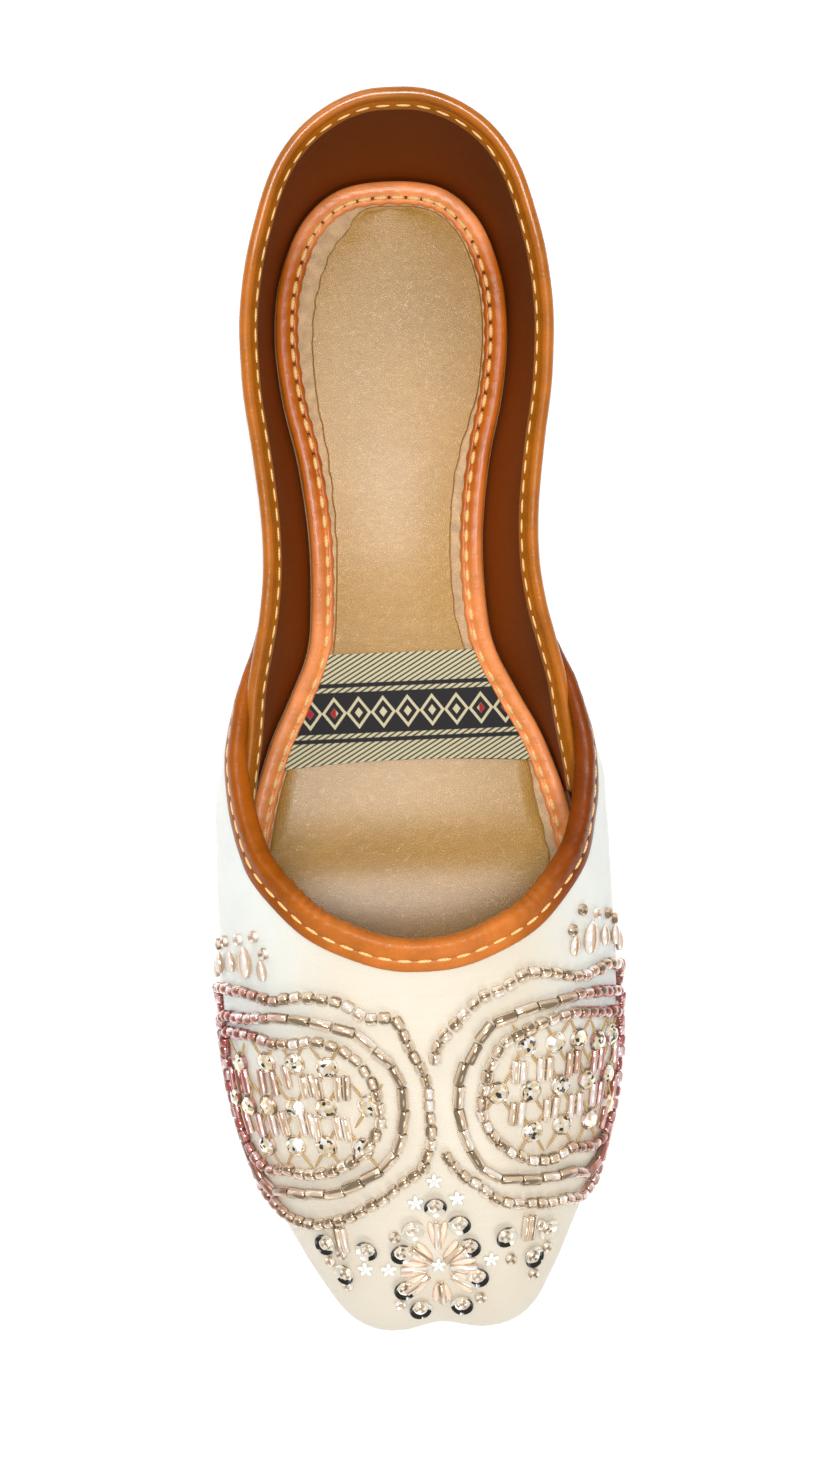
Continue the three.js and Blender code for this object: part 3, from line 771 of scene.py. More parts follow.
def node(tree, kind, inputs=(), **settings):
    """A node with its settings, and its inputs set or linked."""
    new = tree.nodes.new(kind)
    for key, value in settings.items():
        setattr(new, key, value)
    for key, value in dict(inputs).items():
        feed(tree, new.inputs[key], value)
    return new


def maths(tree, operation, a, b=0.0):
    """One sum on values."""
    return node(tree, "ShaderNodeMath", {0: a, 1: b}, operation=operation).outputs[0]


def times(tree, a, b):
    """The product of two values."""
    return maths(tree, "MULTIPLY", a, b)


def size_of(tree, value):
    """A value without its sign."""
    return maths(tree, "ABSOLUTE", value)


def vector_maths(tree, operation, a, b):
    """One sum on vectors."""
    return node(tree, "ShaderNodeVectorMath", {0: a, 1: b}, operation=operation).outputs[0]


def mixed(tree, mask, a, b, blend="MIX"):
    """Colour a where the mask is 0 and b where it is 1."""
    inputs = {0: mask, 6: a, 7: b}
    return node(tree, "ShaderNodeMix", inputs, data_type="RGBA", blend_type=blend).outputs[2]


def ranged(tree, value, low, high, to_low=0.0, to_high=1.0):
    """A value taken smoothly from one range to another, held at the ends."""
    inputs = {0: value, 1: low, 2: high, 3: to_low, 4: to_high}
    return node(tree, "ShaderNodeMapRange", inputs, interpolation_type="SMOOTHSTEP").outputs[0]


def fading(tree, value, low, high, full=1.0, rest=0.0):
    """Full where the value is low, and the rest where it is high."""
    return ranged(tree, value, low, high, full, rest)


def noise(tree, vector, scale, detail=2.0, roughness=0.5):
    """Soft unevenness from 0 to 1."""
    inputs = {"Vector": vector, "Scale": scale, "Detail": detail, "Roughness": roughness}
    return node(tree, "ShaderNodeTexNoise", inputs).outputs["Fac"]


def coordinates(tree):
    """The shoe's own coordinates, in metres."""
    return node(tree, "ShaderNodeTexCoord").outputs["Object"]


def split(tree, vector):
    """The three numbers of a vector or a colour."""
    return node(tree, "ShaderNodeSeparateXYZ", {0: vector}).outputs


def attribute(tree, name):
    """A value that is stored on the mesh."""
    return node(tree, "ShaderNodeAttribute", attribute_name=name).outputs["Fac"]


def bumped(tree, height, distance, normal=None):
    """A normal bent by a height."""
    inputs = {"Distance": distance, "Height": height}
    if normal is not None:
        inputs["Normal"] = normal
    return node(tree, "ShaderNodeBump", inputs).outputs[0]


def make_group(name, inputs, outputs):
    """An empty shader group with named values in and out, and the sockets of its two ends."""
    group = bpy.data.node_groups.new(name, "ShaderNodeTree")
    for label, default in inputs.items():
        socket = group.interface.new_socket(name=label, in_out="INPUT", socket_type="NodeSocketFloat")
        socket.default_value = default
    for label in outputs:
        group.interface.new_socket(name=label, in_out="OUTPUT", socket_type="NodeSocketFloat")
    start, end = group.nodes.new("NodeGroupInput"), group.nodes.new("NodeGroupOutput")
    return group, start.outputs, end.inputs


def leather_grain():
    """Pebbles and pores of leather, with blotches that change its tone."""
    name = "Leather grain"
    if name in bpy.data.node_groups:
        return bpy.data.node_groups[name]
    defaults = {"Pebbles per metre": 1200.0, "Pore share": 0.4, "Blotches per metre": 40.0}
    group, given, result = make_group(name, defaults, ("Height", "Blotch", "Pebble"))
    pebbles, pore_share, blotches = (given[label] for label in defaults)
    coords = coordinates(group)
    unrest = node(group, "ShaderNodeTexNoise", {"Vector": coords, "Scale": 400.0}).outputs["Color"]
    bent = vector_maths(group, "MULTIPLY", unrest, (0.9 * MM, 0.9 * MM, 0.9 * MM))
    moved = vector_maths(group, "ADD", coords, bent)
    inputs = {"Vector": moved, "Scale": pebbles}
    cells = node(group, "ShaderNodeTexVoronoi", inputs, feature="DISTANCE_TO_EDGE").outputs["Distance"]
    pebble = ranged(group, cells, 0.0, 0.28)
    pores = noise(group, coords, times(group, pebbles, 3.0), 3.0, 0.6)
    pebble_part = times(group, pebble, maths(group, "SUBTRACT", 1.0, pore_share))
    height = maths(group, "ADD", pebble_part, times(group, pores, pore_share))
    feed(group, result["Height"], height)
    feed(group, result["Blotch"], noise(group, coords, blotches, 4.0, 0.6))
    feed(group, result["Pebble"], pebble)
    return group


def soft_creases():
    """Long soft creases that run across the leather."""
    name = "Soft creases"
    if name in bpy.data.node_groups:
        return bpy.data.node_groups[name]
    group, given, result = make_group(name, {"Creases per metre": 60.0, "Stretch": 4.0}, ("Height",))
    stretch = node(group, "ShaderNodeCombineXYZ", {0: 1.0, 1: given["Stretch"], 2: 1.0}).outputs[0]
    drawn = vector_maths(group, "MULTIPLY", coordinates(group), stretch)
    waves = noise(group, drawn, given["Creases per metre"], 3.0, 0.55)
    folded = size_of(group, maths(group, "SUBTRACT", waves, 0.5))
    feed(group, result["Height"], ranged(group, folded, 0.0, 0.12))
    return group


def grouped(tree, group, *values):
    """The outputs of a group placed in a material, its inputs given in order."""
    return node(tree, "ShaderNodeGroup", dict(enumerate(values)), node_tree=group).outputs


def finish(name, dress, **constants):
    """A material with constants on its shader, and what dress returns set or linked to it."""
    if name in bpy.data.materials:
        return bpy.data.materials[name]
    material = bpy.data.materials.new(name)
    material.use_nodes = True
    tree = material.node_tree
    shader = tree.nodes["Principled BSDF"]
    for key, value in constants.items():
        shader.inputs[key.replace("_", " ")].default_value = value
    for key, value in dress(tree).items():
        feed(tree, shader.inputs[key], value)
    return material


def palette():
    """The colours that are set in the scene."""
    return bpy.context.scene.mojari_colours


def shade(base, share):
    """A darker or lighter form of a colour."""
    return tuple(min(channel * share, 1.0) for channel in base[:3]) + (1.0,)


def tint(red, green, blue):
    """A colour given in linear light, to be mixed or multiplied in."""
    return (red, green, blue, 1.0)


def hide(
    name, base, deepen=None, *, pebbles, depth, rough, dark, light, pore, crease, blotches, **constants
):
    """A leather with grain, blotches and a gloss that follows them.

    Depth and crease are the bump's heights in millimetres, dark and light the shades of its
    blotches. Deepen gives the mask and the colour that are multiplied in where it is deeper: a deeper tone
    on the bindings, painted shade on the footbed.
    """

    def dress(tree):
        grain = grouped(tree, leather_grain(), pebbles, pore, blotches)
        blotch = grain["Blotch"]
        toned = mixed(tree, ranged(tree, blotch, 0.3, 0.7), shade(base, dark), shade(base, light))
        gaps = fading(tree, grain["Pebble"], 0.0, 0.5, 0.25)
        worked = mixed(tree, gaps, toned, shade(base, 0.55))
        if deepen:
            mask, deep = deepen(tree)
            worked = mixed(tree, mask, worked, deep, "MULTIPLY")
        normal = bumped(tree, grain["Height"], depth * MM)
        if crease:
            folds = grouped(tree, soft_creases(), 70.0, 3.0)
            normal = bumped(tree, folds["Height"], crease * MM, normal)
        gloss = ranged(tree, blotch, 0.25, 0.75, rough - 0.06, rough + 0.08)
        return {"Base Color": worked, "Roughness": gloss, "Normal": normal}

    return finish(name, dress, **constants)


def ivory_leather():
    """Smooth white leather, creamy along the middle of the vamp; its sides are a cooler white, made brighter
    as painted side light.
    """
    colours = palette()

    def dress(tree):
        grain = grouped(tree, leather_grain(), 1500.0, 0.65, 25.0)
        blotch = grain["Blotch"]
        x, y, _ = split(tree, coordinates(tree))
        aside = size_of(tree, maths(tree, "SUBTRACT", x, 1 * MM))
        cool_and_side_lit = times(tree, ranged(tree, aside, 16 * MM, 36 * MM), ranged(tree, y, -78 * MM, -50 * MM))
        # The cooler tint of the sides is the leather's own; their extra brightness is painted side light.
        ground = mixed(tree, cool_and_side_lit, tuple(colours.cream), tuple(colours.white))
        aged = ranged(tree, blotch, 0.25, 0.75, 0.0, 0.5)
        toned = mixed(tree, aged, ground, tint(0.86, 0.82, 0.75), "MULTIPLY")
        folds = grouped(tree, soft_creases(), 45.0, 2.5)
        normal = bumped(tree, grain["Height"], 0.05 * MM)
        normal = bumped(tree, folds["Height"], 0.06 * MM, normal)
        gloss = ranged(tree, blotch, 0.25, 0.75, 0.36, 0.5)
        return {"Base Color": toned, "Roughness": gloss, "Normal": normal}

    return finish("ivory leather", dress, Coat_Weight=0.15, Coat_Roughness=0.35)


def lining_leather():
    """Matt brown leather inside the upper."""
    return hide(
        "brown lining",
        palette().lining,
        pebbles=2200.0,
        depth=0.03,
        rough=0.58,
        dark=0.85,
        light=1.12,
        pore=0.6,
        crease=0.05,
        blotches=18.0,
        Specular_IOR_Level=0.2,
    )


def binding_leather(name, base, deepen=None, rough=0.3, light=1.16, **constants):
    """Fine glossy leather of the three bindings."""
    return hide(
        name,
        base,
        deepen,
        pebbles=2600.0,
        depth=0.03,
        rough=rough,
        dark=0.84,
        light=light,
        pore=0.5,
        crease=0.05,
        blotches=120.0,
        Coat_Roughness=0.14,
        **constants,
    )


def tan_leather():
    """Leather of the collar's binding."""
    base = shade(palette().tan, 0.78)
    return binding_leather("tan binding leather", base, Specular_IOR_Level=0.3, Coat_Weight=0.4)


def throat_leather():
    """Tan leather that is deeper at the sides of the throat, most on the right."""

    def sides(tree):
        across = split(tree, coordinates(tree))[0]
        left = fading(tree, across, -30 * MM, -16 * MM)
        right = ranged(tree, across, 14 * MM, 32 * MM)
        deep = mixed(tree, right, tint(0.59, 0.48, 0.05), tint(0.36, 0.23, 0.02))
        return maths(tree, "MAXIMUM", left, right), deep

    name = "throat binding leather"
    return binding_leather(name, palette().amber, sides, Specular_IOR_Level=0.12, Coat_Weight=0.05)


def peach_leather():
    """Leather of the insole's binding, deeper round the heel but for its very back, which is left light as a
    painted highlight.
    """

    def heel(tree):
        along = split(tree, coordinates(tree))[1]
        back = ranged(tree, along, 15 * MM, 60 * MM)
        # A deeper tone round the heel; the very back is left out of it as a painted highlight.
        return times(tree, back, fading(tree, along, 98 * MM, 108 * MM)), tint(0.6, 0.41, 0.03)

    name = "peach binding leather"
    shine = {"Specular_IOR_Level": 0.28, "Coat_Weight": 0.12}
    return binding_leather(name, palette().peach, heel, 0.32, 1.14, **shine)


def footbed_leather():
    """Grained leather of the pad, with painted shade from the trough across the ball to the toe."""

    def shaded_front(tree):
        along = split(tree, coordinates(tree))[1]
        # Painted shade: the pad is multiplied darker from the trough to the toe.
        return fading(tree, along, -40 * MM, -24 * MM), tint(0.66, 0.62, 0.56)

    return hide(
        "footbed leather",
        palette().beige,
        shaded_front,
        pebbles=2300.0,
        depth=0.14,
        rough=0.38,
        dark=0.88,
        light=1.1,
        pore=0.35,
        crease=0.02,
        blotches=22.0,
        Specular_IOR_Level=0.7,
        Coat_Weight=0.5,
        Coat_Roughness=0.32,
    )


def suede():
    """Napped leather of the bare rim beside the pad."""
    return hide(
        "suede rim",
        palette().suede,
        pebbles=2400.0,
        depth=0.25,
        rough=0.9,
        dark=0.8,
        light=1.12,
        pore=0.6,
        crease=0.0,
        blotches=400.0,
        Sheen_Weight=0.3,
    )


def sole_leather():
    """Plain leather of the outsole and the heel lift."""
    return hide(
        "sole leather",
        palette().sole,
        pebbles=1600.0,
        depth=0.05,
        rough=0.55,
        dark=0.8,
        light=1.12,
        pore=0.5,
        crease=0.04,
        blotches=30.0,
    )


def thread(name, base):
    """Waxed thread, twisted."""

    def dress(tree):
        inputs = {"Vector": coordinates(tree), "Scale": 900.0, "Distortion": 1.0}
        ply = node(tree, "ShaderNodeTexWave", inputs, bands_direction="DIAGONAL").outputs["Fac"]
        toned = mixed(tree, ply, shade(base, 0.7), shade(base, 1.1))
        return {"Base Color": toned, "Normal": bumped(tree, ply, 0.05 * MM)}

    return finish(name, dress, Roughness=0.5)


def bead_glass():
    """Silver-lined glass of the beads.

    It is champagne in the middle of the vamp and rose at its sides, shifted by each bead's random tone and
    streaked with painted highlights and painted dark reflections.
    """
    colours = palette()

    def dress(tree):
        x, y, _ = split(tree, coordinates(tree))
        tone = attribute(tree, "tone")
        shifted = maths(tree, "ADD", size_of(tree, x), times(tree, tone, 5 * MM))
        below_wings = fading(tree, y, -51 * MM, -46 * MM, 1.0, 0.2)
        rosy = times(tree, ranged(tree, shifted, 26 * MM, 42 * MM), below_wings)
        ground = mixed(tree, rosy, tuple(colours.champagne), tuple(colours.rose))
        # Painted highlight: light random tones and light streaks go towards near white.
        light_tone_and_glint = ranged(tree, tone, 0.5, 1.0, 0.0, 0.85)
        glinted = mixed(tree, light_tone_and_glint, ground, tint(0.95, 0.93, 0.89))
        # Painted dark reflection: dark random tones and dark streaks go towards smoke.
        dark_tone_and_reflection = fading(tree, tone, 0.0, 0.4, 0.85)
        return {"Base Color": mixed(tree, dark_tone_and_reflection, glinted, tuple(colours.smoke))}

    shine = {"Metallic": 0.4, "Roughness": 0.12, "Coat_Weight": 0.8, "Coat_Roughness": 0.04}
    return finish("silver-lined glass", dress, **shine)


def stone_glass():
    """Foiled glass of the mounted stones, with facets painted from near white glints to near black
    reflections.
    """

    def dress(tree):
        inputs = {"Vector": coordinates(tree), "Scale": 1300.0}
        facets = node(tree, "ShaderNodeTexVoronoi", inputs).outputs["Color"]
        warmth, glint_cells, dark_reflection_cells = split(tree, facets)
        warm = mixed(tree, warmth, tint(0.95, 0.86, 0.68), tint(0.72, 0.5, 0.24))
        # Painted glints: some facets go near white.
        glinting = mixed(tree, ranged(tree, glint_cells, 0.6, 0.8), warm, tint(1.0, 0.99, 0.95))
        # Painted dark reflections: some facets go near black.
        dark = ranged(tree, dark_reflection_cells, 0.78, 0.86)
        return {"Base Color": mixed(tree, dark, glinting, tint(0.05, 0.04, 0.025))}

    shine = {"Metallic": 0.5, "Roughness": 0.07, "Coat_Weight": 0.8, "Coat_Roughness": 0.03}
    return finish("foiled stones", dress, **shine)


def sequin_foil():
    """Pearly sequins whose cupped rim has painted shade on one side."""

    def dress(tree):
        film = noise(tree, coordinates(tree), 600.0)
        pearl = mixed(tree, film, tint(0.72, 0.62, 0.45), tint(0.82, 0.8, 0.74))
        # Painted shade: near black where the tone marks the rim's side turned from the light.
        dark = fading(tree, attribute(tree, "tone"), 0.3, 0.6)
        return {"Base Color": mixed(tree, dark, pearl, tint(0.012, 0.011, 0.008))}

    shine = {"Metallic": 0.35, "Roughness": 0.18, "Coat_Weight": 0.5, "Coat_Roughness": 0.08}
    return finish("sequin foil", dress, **shine)


def clouded(name, per_metre, low, high, **constants):
    """A material whose colour wanders between two."""

    def dress(tree):
        return {"Base Color": mixed(tree, noise(tree, coordinates(tree), per_metre), low, high)}

    return finish(name, dress, **constants)


def drop_glass():
    """Peach glass of the flower's drops."""
    shine = {"Roughness": 0.18, "Coat_Weight": 0.6, "Coat_Roughness": 0.05}
    return clouded("peach glass", 500.0, tint(0.86, 0.6, 0.42), tint(0.86, 0.7, 0.58), **shine)


def pearl_paint():
    """Milky white of the florets."""
    shine = {"Roughness": 0.25, "Coat_Weight": 0.5}
    return clouded("pearl florets", 800.0, tint(0.75, 0.74, 0.68), tint(0.9, 0.9, 0.86), **shine)


def label_weave():
    """Woven label: slanting stripes, and a dark band with a chain of lozenges and red hearts."""
    colours = palette()
    linen, ink, red = tuple(colours.linen), tuple(colours.ink), tuple(colours.red)
    stripe, slope_share = 1.0 * MM, 0.58
    band_middle = 6.2 * MM
    lozenge_wide, lozenge_high = 5.2 * MM, 6.8 * MM

    def dress(tree):
        x, y, _ = split(tree, coordinates(tree))

        def wave(value, period):
            return maths(tree, "SINE", times(tree, value, 2 * math.pi / period))

        slant = maths(tree, "SUBTRACT", y, times(tree, x, slope_share))
        stripes = ranged(tree, wave(slant, stripe), 0.1, 0.5)
        away = size_of(tree, maths(tree, "SUBTRACT", y, band_middle))
        band = fading(tree, away, 4.3 * MM, 4.5 * MM)
        start, end = ranged(tree, away, 5.3 * MM, 5.5 * MM), fading(tree, away, 6.2 * MM, 6.4 * MM)
        lines = times(tree, start, end)
        across = maths(tree, "PINGPONG", x, lozenge_wide / 2)
        across_part = maths(tree, "DIVIDE", across, lozenge_wide / 2)
        up_part = maths(tree, "DIVIDE", away, lozenge_high / 2)
        diamond = maths(tree, "ADD", across_part, up_part)
        lozenge = times(tree, ranged(tree, diamond, 0.72, 0.78), fading(tree, diamond, 1.0, 1.06))
        heart = fading(tree, diamond, 0.3, 0.36)
        outer = ranged(tree, size_of(tree, x), 15 * MM, 15.4 * MM)
        drawn = mixed(tree, stripes, linen, shade(linen, 0.12))
        drawn = mixed(tree, maths(tree, "MAXIMUM", band, lines), drawn, ink)
        drawn = mixed(tree, times(tree, maths(tree, "MAXIMUM", lozenge, heart), band), drawn, linen)
        drawn = mixed(tree, times(tree, times(tree, heart, outer), band), drawn, red)
        weave = times(tree, wave(x, 0.42 * MM), wave(y, 0.36 * MM))
        shadow = fading(tree, weave, -1.0, 1.0, 0.25)
        toned = mixed(tree, shadow, drawn, tint(0.02, 0.02, 0.02))
        return {"Base Color": toned, "Normal": bumped(tree, weave, 0.05 * MM)}

    return finish("woven label", dress, Roughness=0.8, Sheen_Weight=0.2)


class PieceOperator:
    """What the operators share."""

    bl_options = {"REGISTER", "UNDO"}


class MOJARI_OT_stage(PieceOperator, bpy.types.Operator):
    """Pale floor, soft studio lights, and a camera straight over the shoe as in the photograph"""

    bl_idname = "mojari.stage"
    bl_label = "Stage"

    def execute(self, context):
        build_stage(context.scene)
        return {"FINISHED"}


class MOJARI_OT_upper(PieceOperator, bpy.types.Operator):
    """Vamp and quarter in white leather, with their linings"""

    bl_idname = "mojari.upper"
    bl_label = "Upper"

    def execute(self, context):
        build_upper(the_last())
        return {"FINISHED"}


class MOJARI_OT_sole(PieceOperator, bpy.types.Operator):
    """Outsole and heel lift with their stitches"""

    bl_idname = "mojari.sole"
    bl_label = "Sole"

    def execute(self, context):
        build_sole(the_last())
        return {"FINISHED"}


class MOJARI_OT_footbed(PieceOperator, bpy.types.Operator):
    """Padded insole, its binding with stitches, and the woven label"""

    bl_idname = "mojari.footbed"
    bl_label = "Footbed"

    def execute(self, context):
        build_footbed(the_last())
        return {"FINISHED"}


class MOJARI_OT_bindings(PieceOperator, bpy.types.Operator):
    """Collar binding and throat binding with their stitches"""

    bl_idname = "mojari.bindings"
    bl_label = "Bindings"

    def execute(self, context):
        build_bindings(the_last())
        return {"FINISHED"}


class MOJARI_OT_beads(PieceOperator, bpy.types.Operator):
    """Bead rows and fillings of the medallions, sprigs, and the flower on the toe"""

    bl_idname = "mojari.beads"
    bl_label = "Bead work"

    def execute(self, context):
        last = the_last()
        build_bead_rows(last)
        build_fillings(last)
        build_toe_flower(last)
        return {"FINISHED"}


# Pieces


def sheet(last, skin, stations, levels, outer, inner, foot_drop=0.0, short=0.0):
    """A leather sheet between two depths of a skin, as a closed mesh that ends short of the edge."""

    def ring(place):
        height = last.edge_frame(skin, place)[3]
        top = 1 - short / height
        outside = [last.off(skin, place, t * top, outer) for t in levels]
        inside = [last.off(skin, place, t * top, inner) for t in reversed(levels)]
        outside[0].z -= foot_drop
        inside[-1].z -= foot_drop
        return [last.bend(p) for p in outside + inside]

    return closed_strip(stations, ring)


def build_upper(last):
    """Leather and lining of the vamp and the quarter, whose feet reach down onto the outsole."""
    leather = 1.0 * MM
    lining_short = 1.7 * MM
    drop = last.joint - TINY
    ivory = ivory_leather()
    brown = lining_leather()
    skins = (
        ("vamp", spread(-1, 1, 221), spread(0, 1, 33), ["upper"]),
        ("quarter", spread(-1, 1, 161), spread(0, 1, 19), ()),
    )
    for skin, places, levels, replaces in skins:
        bm = sheet(last, skin, places, levels, 0, -leather, drop)
        make_piece(skin, bm, [ivory], replaces, 40)
    for skin, places, levels, _ in skins:
        bm = sheet(last, skin, places, levels, -leather - TINY, -last.wall, drop, lining_short)
        make_piece(f"{skin}_lining", bm, [brown], (), 40)


def edge_strip(last, skin, places, ring_at):
    """A binding over a skin's edge; ring_at gives its section as (down, depth) pairs."""

    def ring(place):
        return [last.bend(last.edge_point(skin, place, *spot)) for spot in ring_at(place)]

    return closed_strip(places, ring)


def edge_path(last, skin, places, down_at, depth):
    """Samples for stitches below a skin's edge; down_at gives how far below it at a place."""
    samples = []
    for place in places:
        point = last.edge_point(skin, place, down_at(place), depth)
        normal = last.skin_normal(skin, place, 1)
        samples.append((last.bend(point), normal if depth > 0 else -normal))
    return samples


def build_collar_binding(last, gold):
    """The channel over the quarter's topline, stitched through below its roll."""
    roll = [(0.25 - 1.3 * math.sin(a), -0.15 + 1.25 * math.cos(a)) for a in spread(0.0, math.pi, 13)]
    rows = (*COLLAR_OUTSIDE, *roll, *COLLAR_INSIDE, *COLLAR_BACK)
    section = [(down * MM, depth * MM) for down, depth in rows]
    places = spread(-COLLAR_REACH, COLLAR_REACH, 181)
    bm = edge_strip(last, "quarter", places, lambda place: section)
    make_piece("collar_binding_leather", bm, [tan_leather()], ["collar_binding"], 50)
    paths = [
        edge_path(last, "quarter", places, lambda place: 2.0 * MM, -2.1 * MM),
        edge_path(last, "quarter", places, lambda place: 2.5 * MM, 0.65 * MM),
    ]
    size = (2.9 * MM, 0.6 * MM, 0.5 * MM)
    stitches("collar_stitches", paths, gold, size, STITCH_PITCH)


def throat_band(last, place):
    """Width of the throat binding outside, which narrows where the wing runs out."""
    height = last.edge_frame("vamp", place)[3]
    return min(last.throat_width - 0.8 * MM, 0.7 * height)


def throat_section(last, place):
    """Section of the throat binding: band outside, puckered roll, hem inside, and back."""
    width = throat_band(last, place)
    full = ease(1 - abs(place) * (1 - WING_TIP), 0.42, 0.55)
    inward = last.wall * (0.1 + 0.9 * full)
    hem = 1.1 * MM + 2.2 * MM * full
    gathered = math.exp(-(((abs(place) - 0.42) / 0.13) ** 2))
    pucker = (0.05 + 0.22 * gathered) * MM * math.sin(place * 190 + 3 * math.sin(place * 31))
    edge = [(width, 0.04 * MM), (width - 0.05 * MM, 0.6 * MM)]
    band = [(share * width, depth * MM) for share, depth in THROAT_BAND]
    crest = [
        (0.38 * width, 1.14 * MM + 0.4 * pucker),
        (0.2 * width, 1.3 * MM + pucker),
        (0.08 * width, 1.3 * MM + pucker),
    ]
    roll = [
        (-(1.0 * MM + pucker) * math.sin(a), -inward / 2 + (inward / 2 + 1.15 * MM) * math.cos(a))
        for a in spread(0.15, math.pi, 9)
    ]
    inside = [(0.9 * MM, -inward - 1.0 * MM), (hem, -inward - 0.55 * MM)]
    back = [
        (hem + 0.1 * MM * full, -inward - 0.03 * MM),
        (0.9 * MM, -inward - 0.03 * MM),
        (-0.15 * MM, -inward / 2),
        (0.9 * MM, 0.03 * MM),
        (0.5 * width, 0.03 * MM),
    ]
    return edge + band + crest + roll + inside + back


def build_throat_binding(last, gold):
    """The band folded over the vamp's edge, gathered at both sides of the throat."""
    places = spread(-1, 1, 301)
    bm = edge_strip(last, "vamp", places, lambda place: throat_section(last, place))
    make_piece("throat_binding_leather", bm, [throat_leather()], ["throat_binding"], 50)
    path = edge_path(last, "vamp", places, lambda place: 0.58 * throat_band(last, place), 0.82 * MM)
    size = (3.0 * MM, 0.7 * MM, 0.55 * MM)
    stitches("throat_stitches", [path], gold, size, STITCH_PITCH)


def build_bindings(last):
    """Both bindings of the upper, sewn with the same gold thread."""
    gold = thread("gold thread", palette().gold)
    build_collar_binding(last, gold)
    build_throat_binding(last, gold)


def slab(last, arounds, section):
    """A slab under the foot; section gives (inset, height function) rows from under to top."""

    def ring(around):
        sides = []
        for side in (-1, 1):
            points = []
            for inset, height in section(around):
                point = last.foot(side, around, -inset)
                point.z = height(point.y)
                points.append(last.bend(point))
            sides.append(points)
        return sides[0][::-1] + sides[1]

    return closed_strip(arounds, ring)


def build_outsole(last, leather):
    """The outsole, with a channel for its stitches underneath."""

    def section(around):
        side = -last.sole_margin - last.lap(around)
        under = [(side + inset * MM, rise * MM) for inset, rise in OUTSOLE_UNDER]
        top = [(side + inset * MM, rise * MM) for inset, rise in OUTSOLE_TOP]
        rows = [(inset, lambda y, rise=rise: last.sole_under(y) + rise) for inset, rise in under]
        return rows + [(inset, lambda y, rise=rise: last.sole_top(y) + rise) for inset, rise in top]

    bm = slab(last, spread(0, 1, 161), section)
    make_piece("outsole_leather", bm, [leather], ["outsole"], 50)


def build_heel(last, leather):
    """The heel lift, with a groove between its two layers."""
    top = last.heel_lift - TINY

    def section(around):
        rows = []
        for share, inset in HEEL_PROFILE:
            taper = last.heel_taper * (1 - share)
            rows.append((taper + inset * MM - last.sole_margin, lambda y, z=share * top: z))
        return rows

    bm = slab(last, spread(0, BREAST, 61), section)
    make_piece("heel_lift", bm, [leather], ["heel"], 50)


def build_sole(last):
    """Outsole, heel lift and the stitches in the outsole's channel."""
    leather = sole_leather()
    build_outsole(last, leather)
    build_heel(last, leather)
    paths = []
    for side in (-1, 1):
        samples = []
        for around in spread(0.25, 0.995, 160):
            inset = 3.75 * MM - last.sole_margin - last.lap(around)
            point = last.foot(side, around, -inset)
            point.z = last.sole_under(point.y) + 0.35 * MM
            samples.append((last.bend(point), Vector((0, 0, -1))))
        paths.append(samples)
    linen = thread("linen thread", palette().linen)
    stitches("sole_stitches", paths, linen, (3.4 * MM, 0.7 * MM, 0.6 * MM), 4.4 * MM)


def trim_edge(last, around):
    """Inset of the insole binding's inner edge, which runs out in front of the ball."""
    return last.wall + last.joint + last.trim_width * (1 - ease(around, 0.64, 0.74))


def pad_edge(last, side, around):
    """Inset of the pad's edge: the rim shows bare beside it on the left heel and right waist."""
    if side < 0:
        bare = 3.3 * ease(around, 0.015, 0.06) * (1 - ease(around, 0.08, 0.4))
    else:
        bare = 1.7 * ease(around, 0.22, 0.3) * (1 - ease(around, 0.38, 0.44))
        bare += 1.5 * ease(around, 0.5, 0.54) * (1 - ease(around, 0.6, 0.7))
    ragged = 0.12 * math.sin(around * 310 + side) + 0.08 * math.sin(around * 730)
    return trim_edge(last, around) + (bare + 0.35 + (ragged if bare > 0.3 else 0)) * MM


def pad_height(last, across, y):
    """Top of the pad, across from -1 to 1: crowned a little, with a soft trough at the ball."""
    trough = math.exp(-(((y + 28 * MM) / (6 * MM)) ** 2)) * 0.6 * MM
    swell = math.exp(-(((y + 15 * MM) / (10 * MM)) ** 2)) * 0.5 * MM
    crown = (1 - across * across) * 0.5 * MM
    return last.pad_top(y) - 0.15 * MM + crown - trough + swell


def build_pad(last):
    """The padded footbed: a crowned pad inside the bare suede of its rim."""
    top, rise = last.rim_top, last.pad_rise
    rim = last.wall + last.joint

    def section(side, around):
        edge = pad_edge(last, side, around)
        return (
            (rim, lambda y: last.upper_foot(y) - last.joint + TINY),
            (rim, lambda y: top(y) - 0.3 * MM),
            (rim + 0.3 * MM, top),
            (edge, top),
            (edge + 0.05 * MM, lambda y: top(y) + 0.4 * rise),
            (edge + 0.35 * MM, lambda y: top(y) + 0.8 * rise),
            (edge + 1.0 * MM, lambda y: pad_height(last, 1, y)),
        )

    def ring(around):
        sides = []
        for side in (-1, 1):
            points = []
            for inset, height in section(side, around):
                point = last.foot(side, around, -inset)
                point.z = height(point.y)
                points.append(point)
            sides.append(points)
        left, right = sides
        across = []
        for share in spread(0, 1, 25)[1:-1]:
            point = right[-1].lerp(left[-1], share)
            point.z = pad_height(last, 2 * share - 1, point.y)
            across.append(point)
        return [last.bend(point) for point in right + across + left[::-1]]

    bm = closed_strip(spread(0, 1, 161), ring)
    dress = [footbed_leather(), suede()]
    pad = make_piece("footbed_pad", bm, dress, ["insole"], 45)
    for face in pad.data.polygons:
        point = face.center
        if face.normal.z > 0.9 and point.z < top(point.y) + 0.04 * MM:
            face.material_index = 1


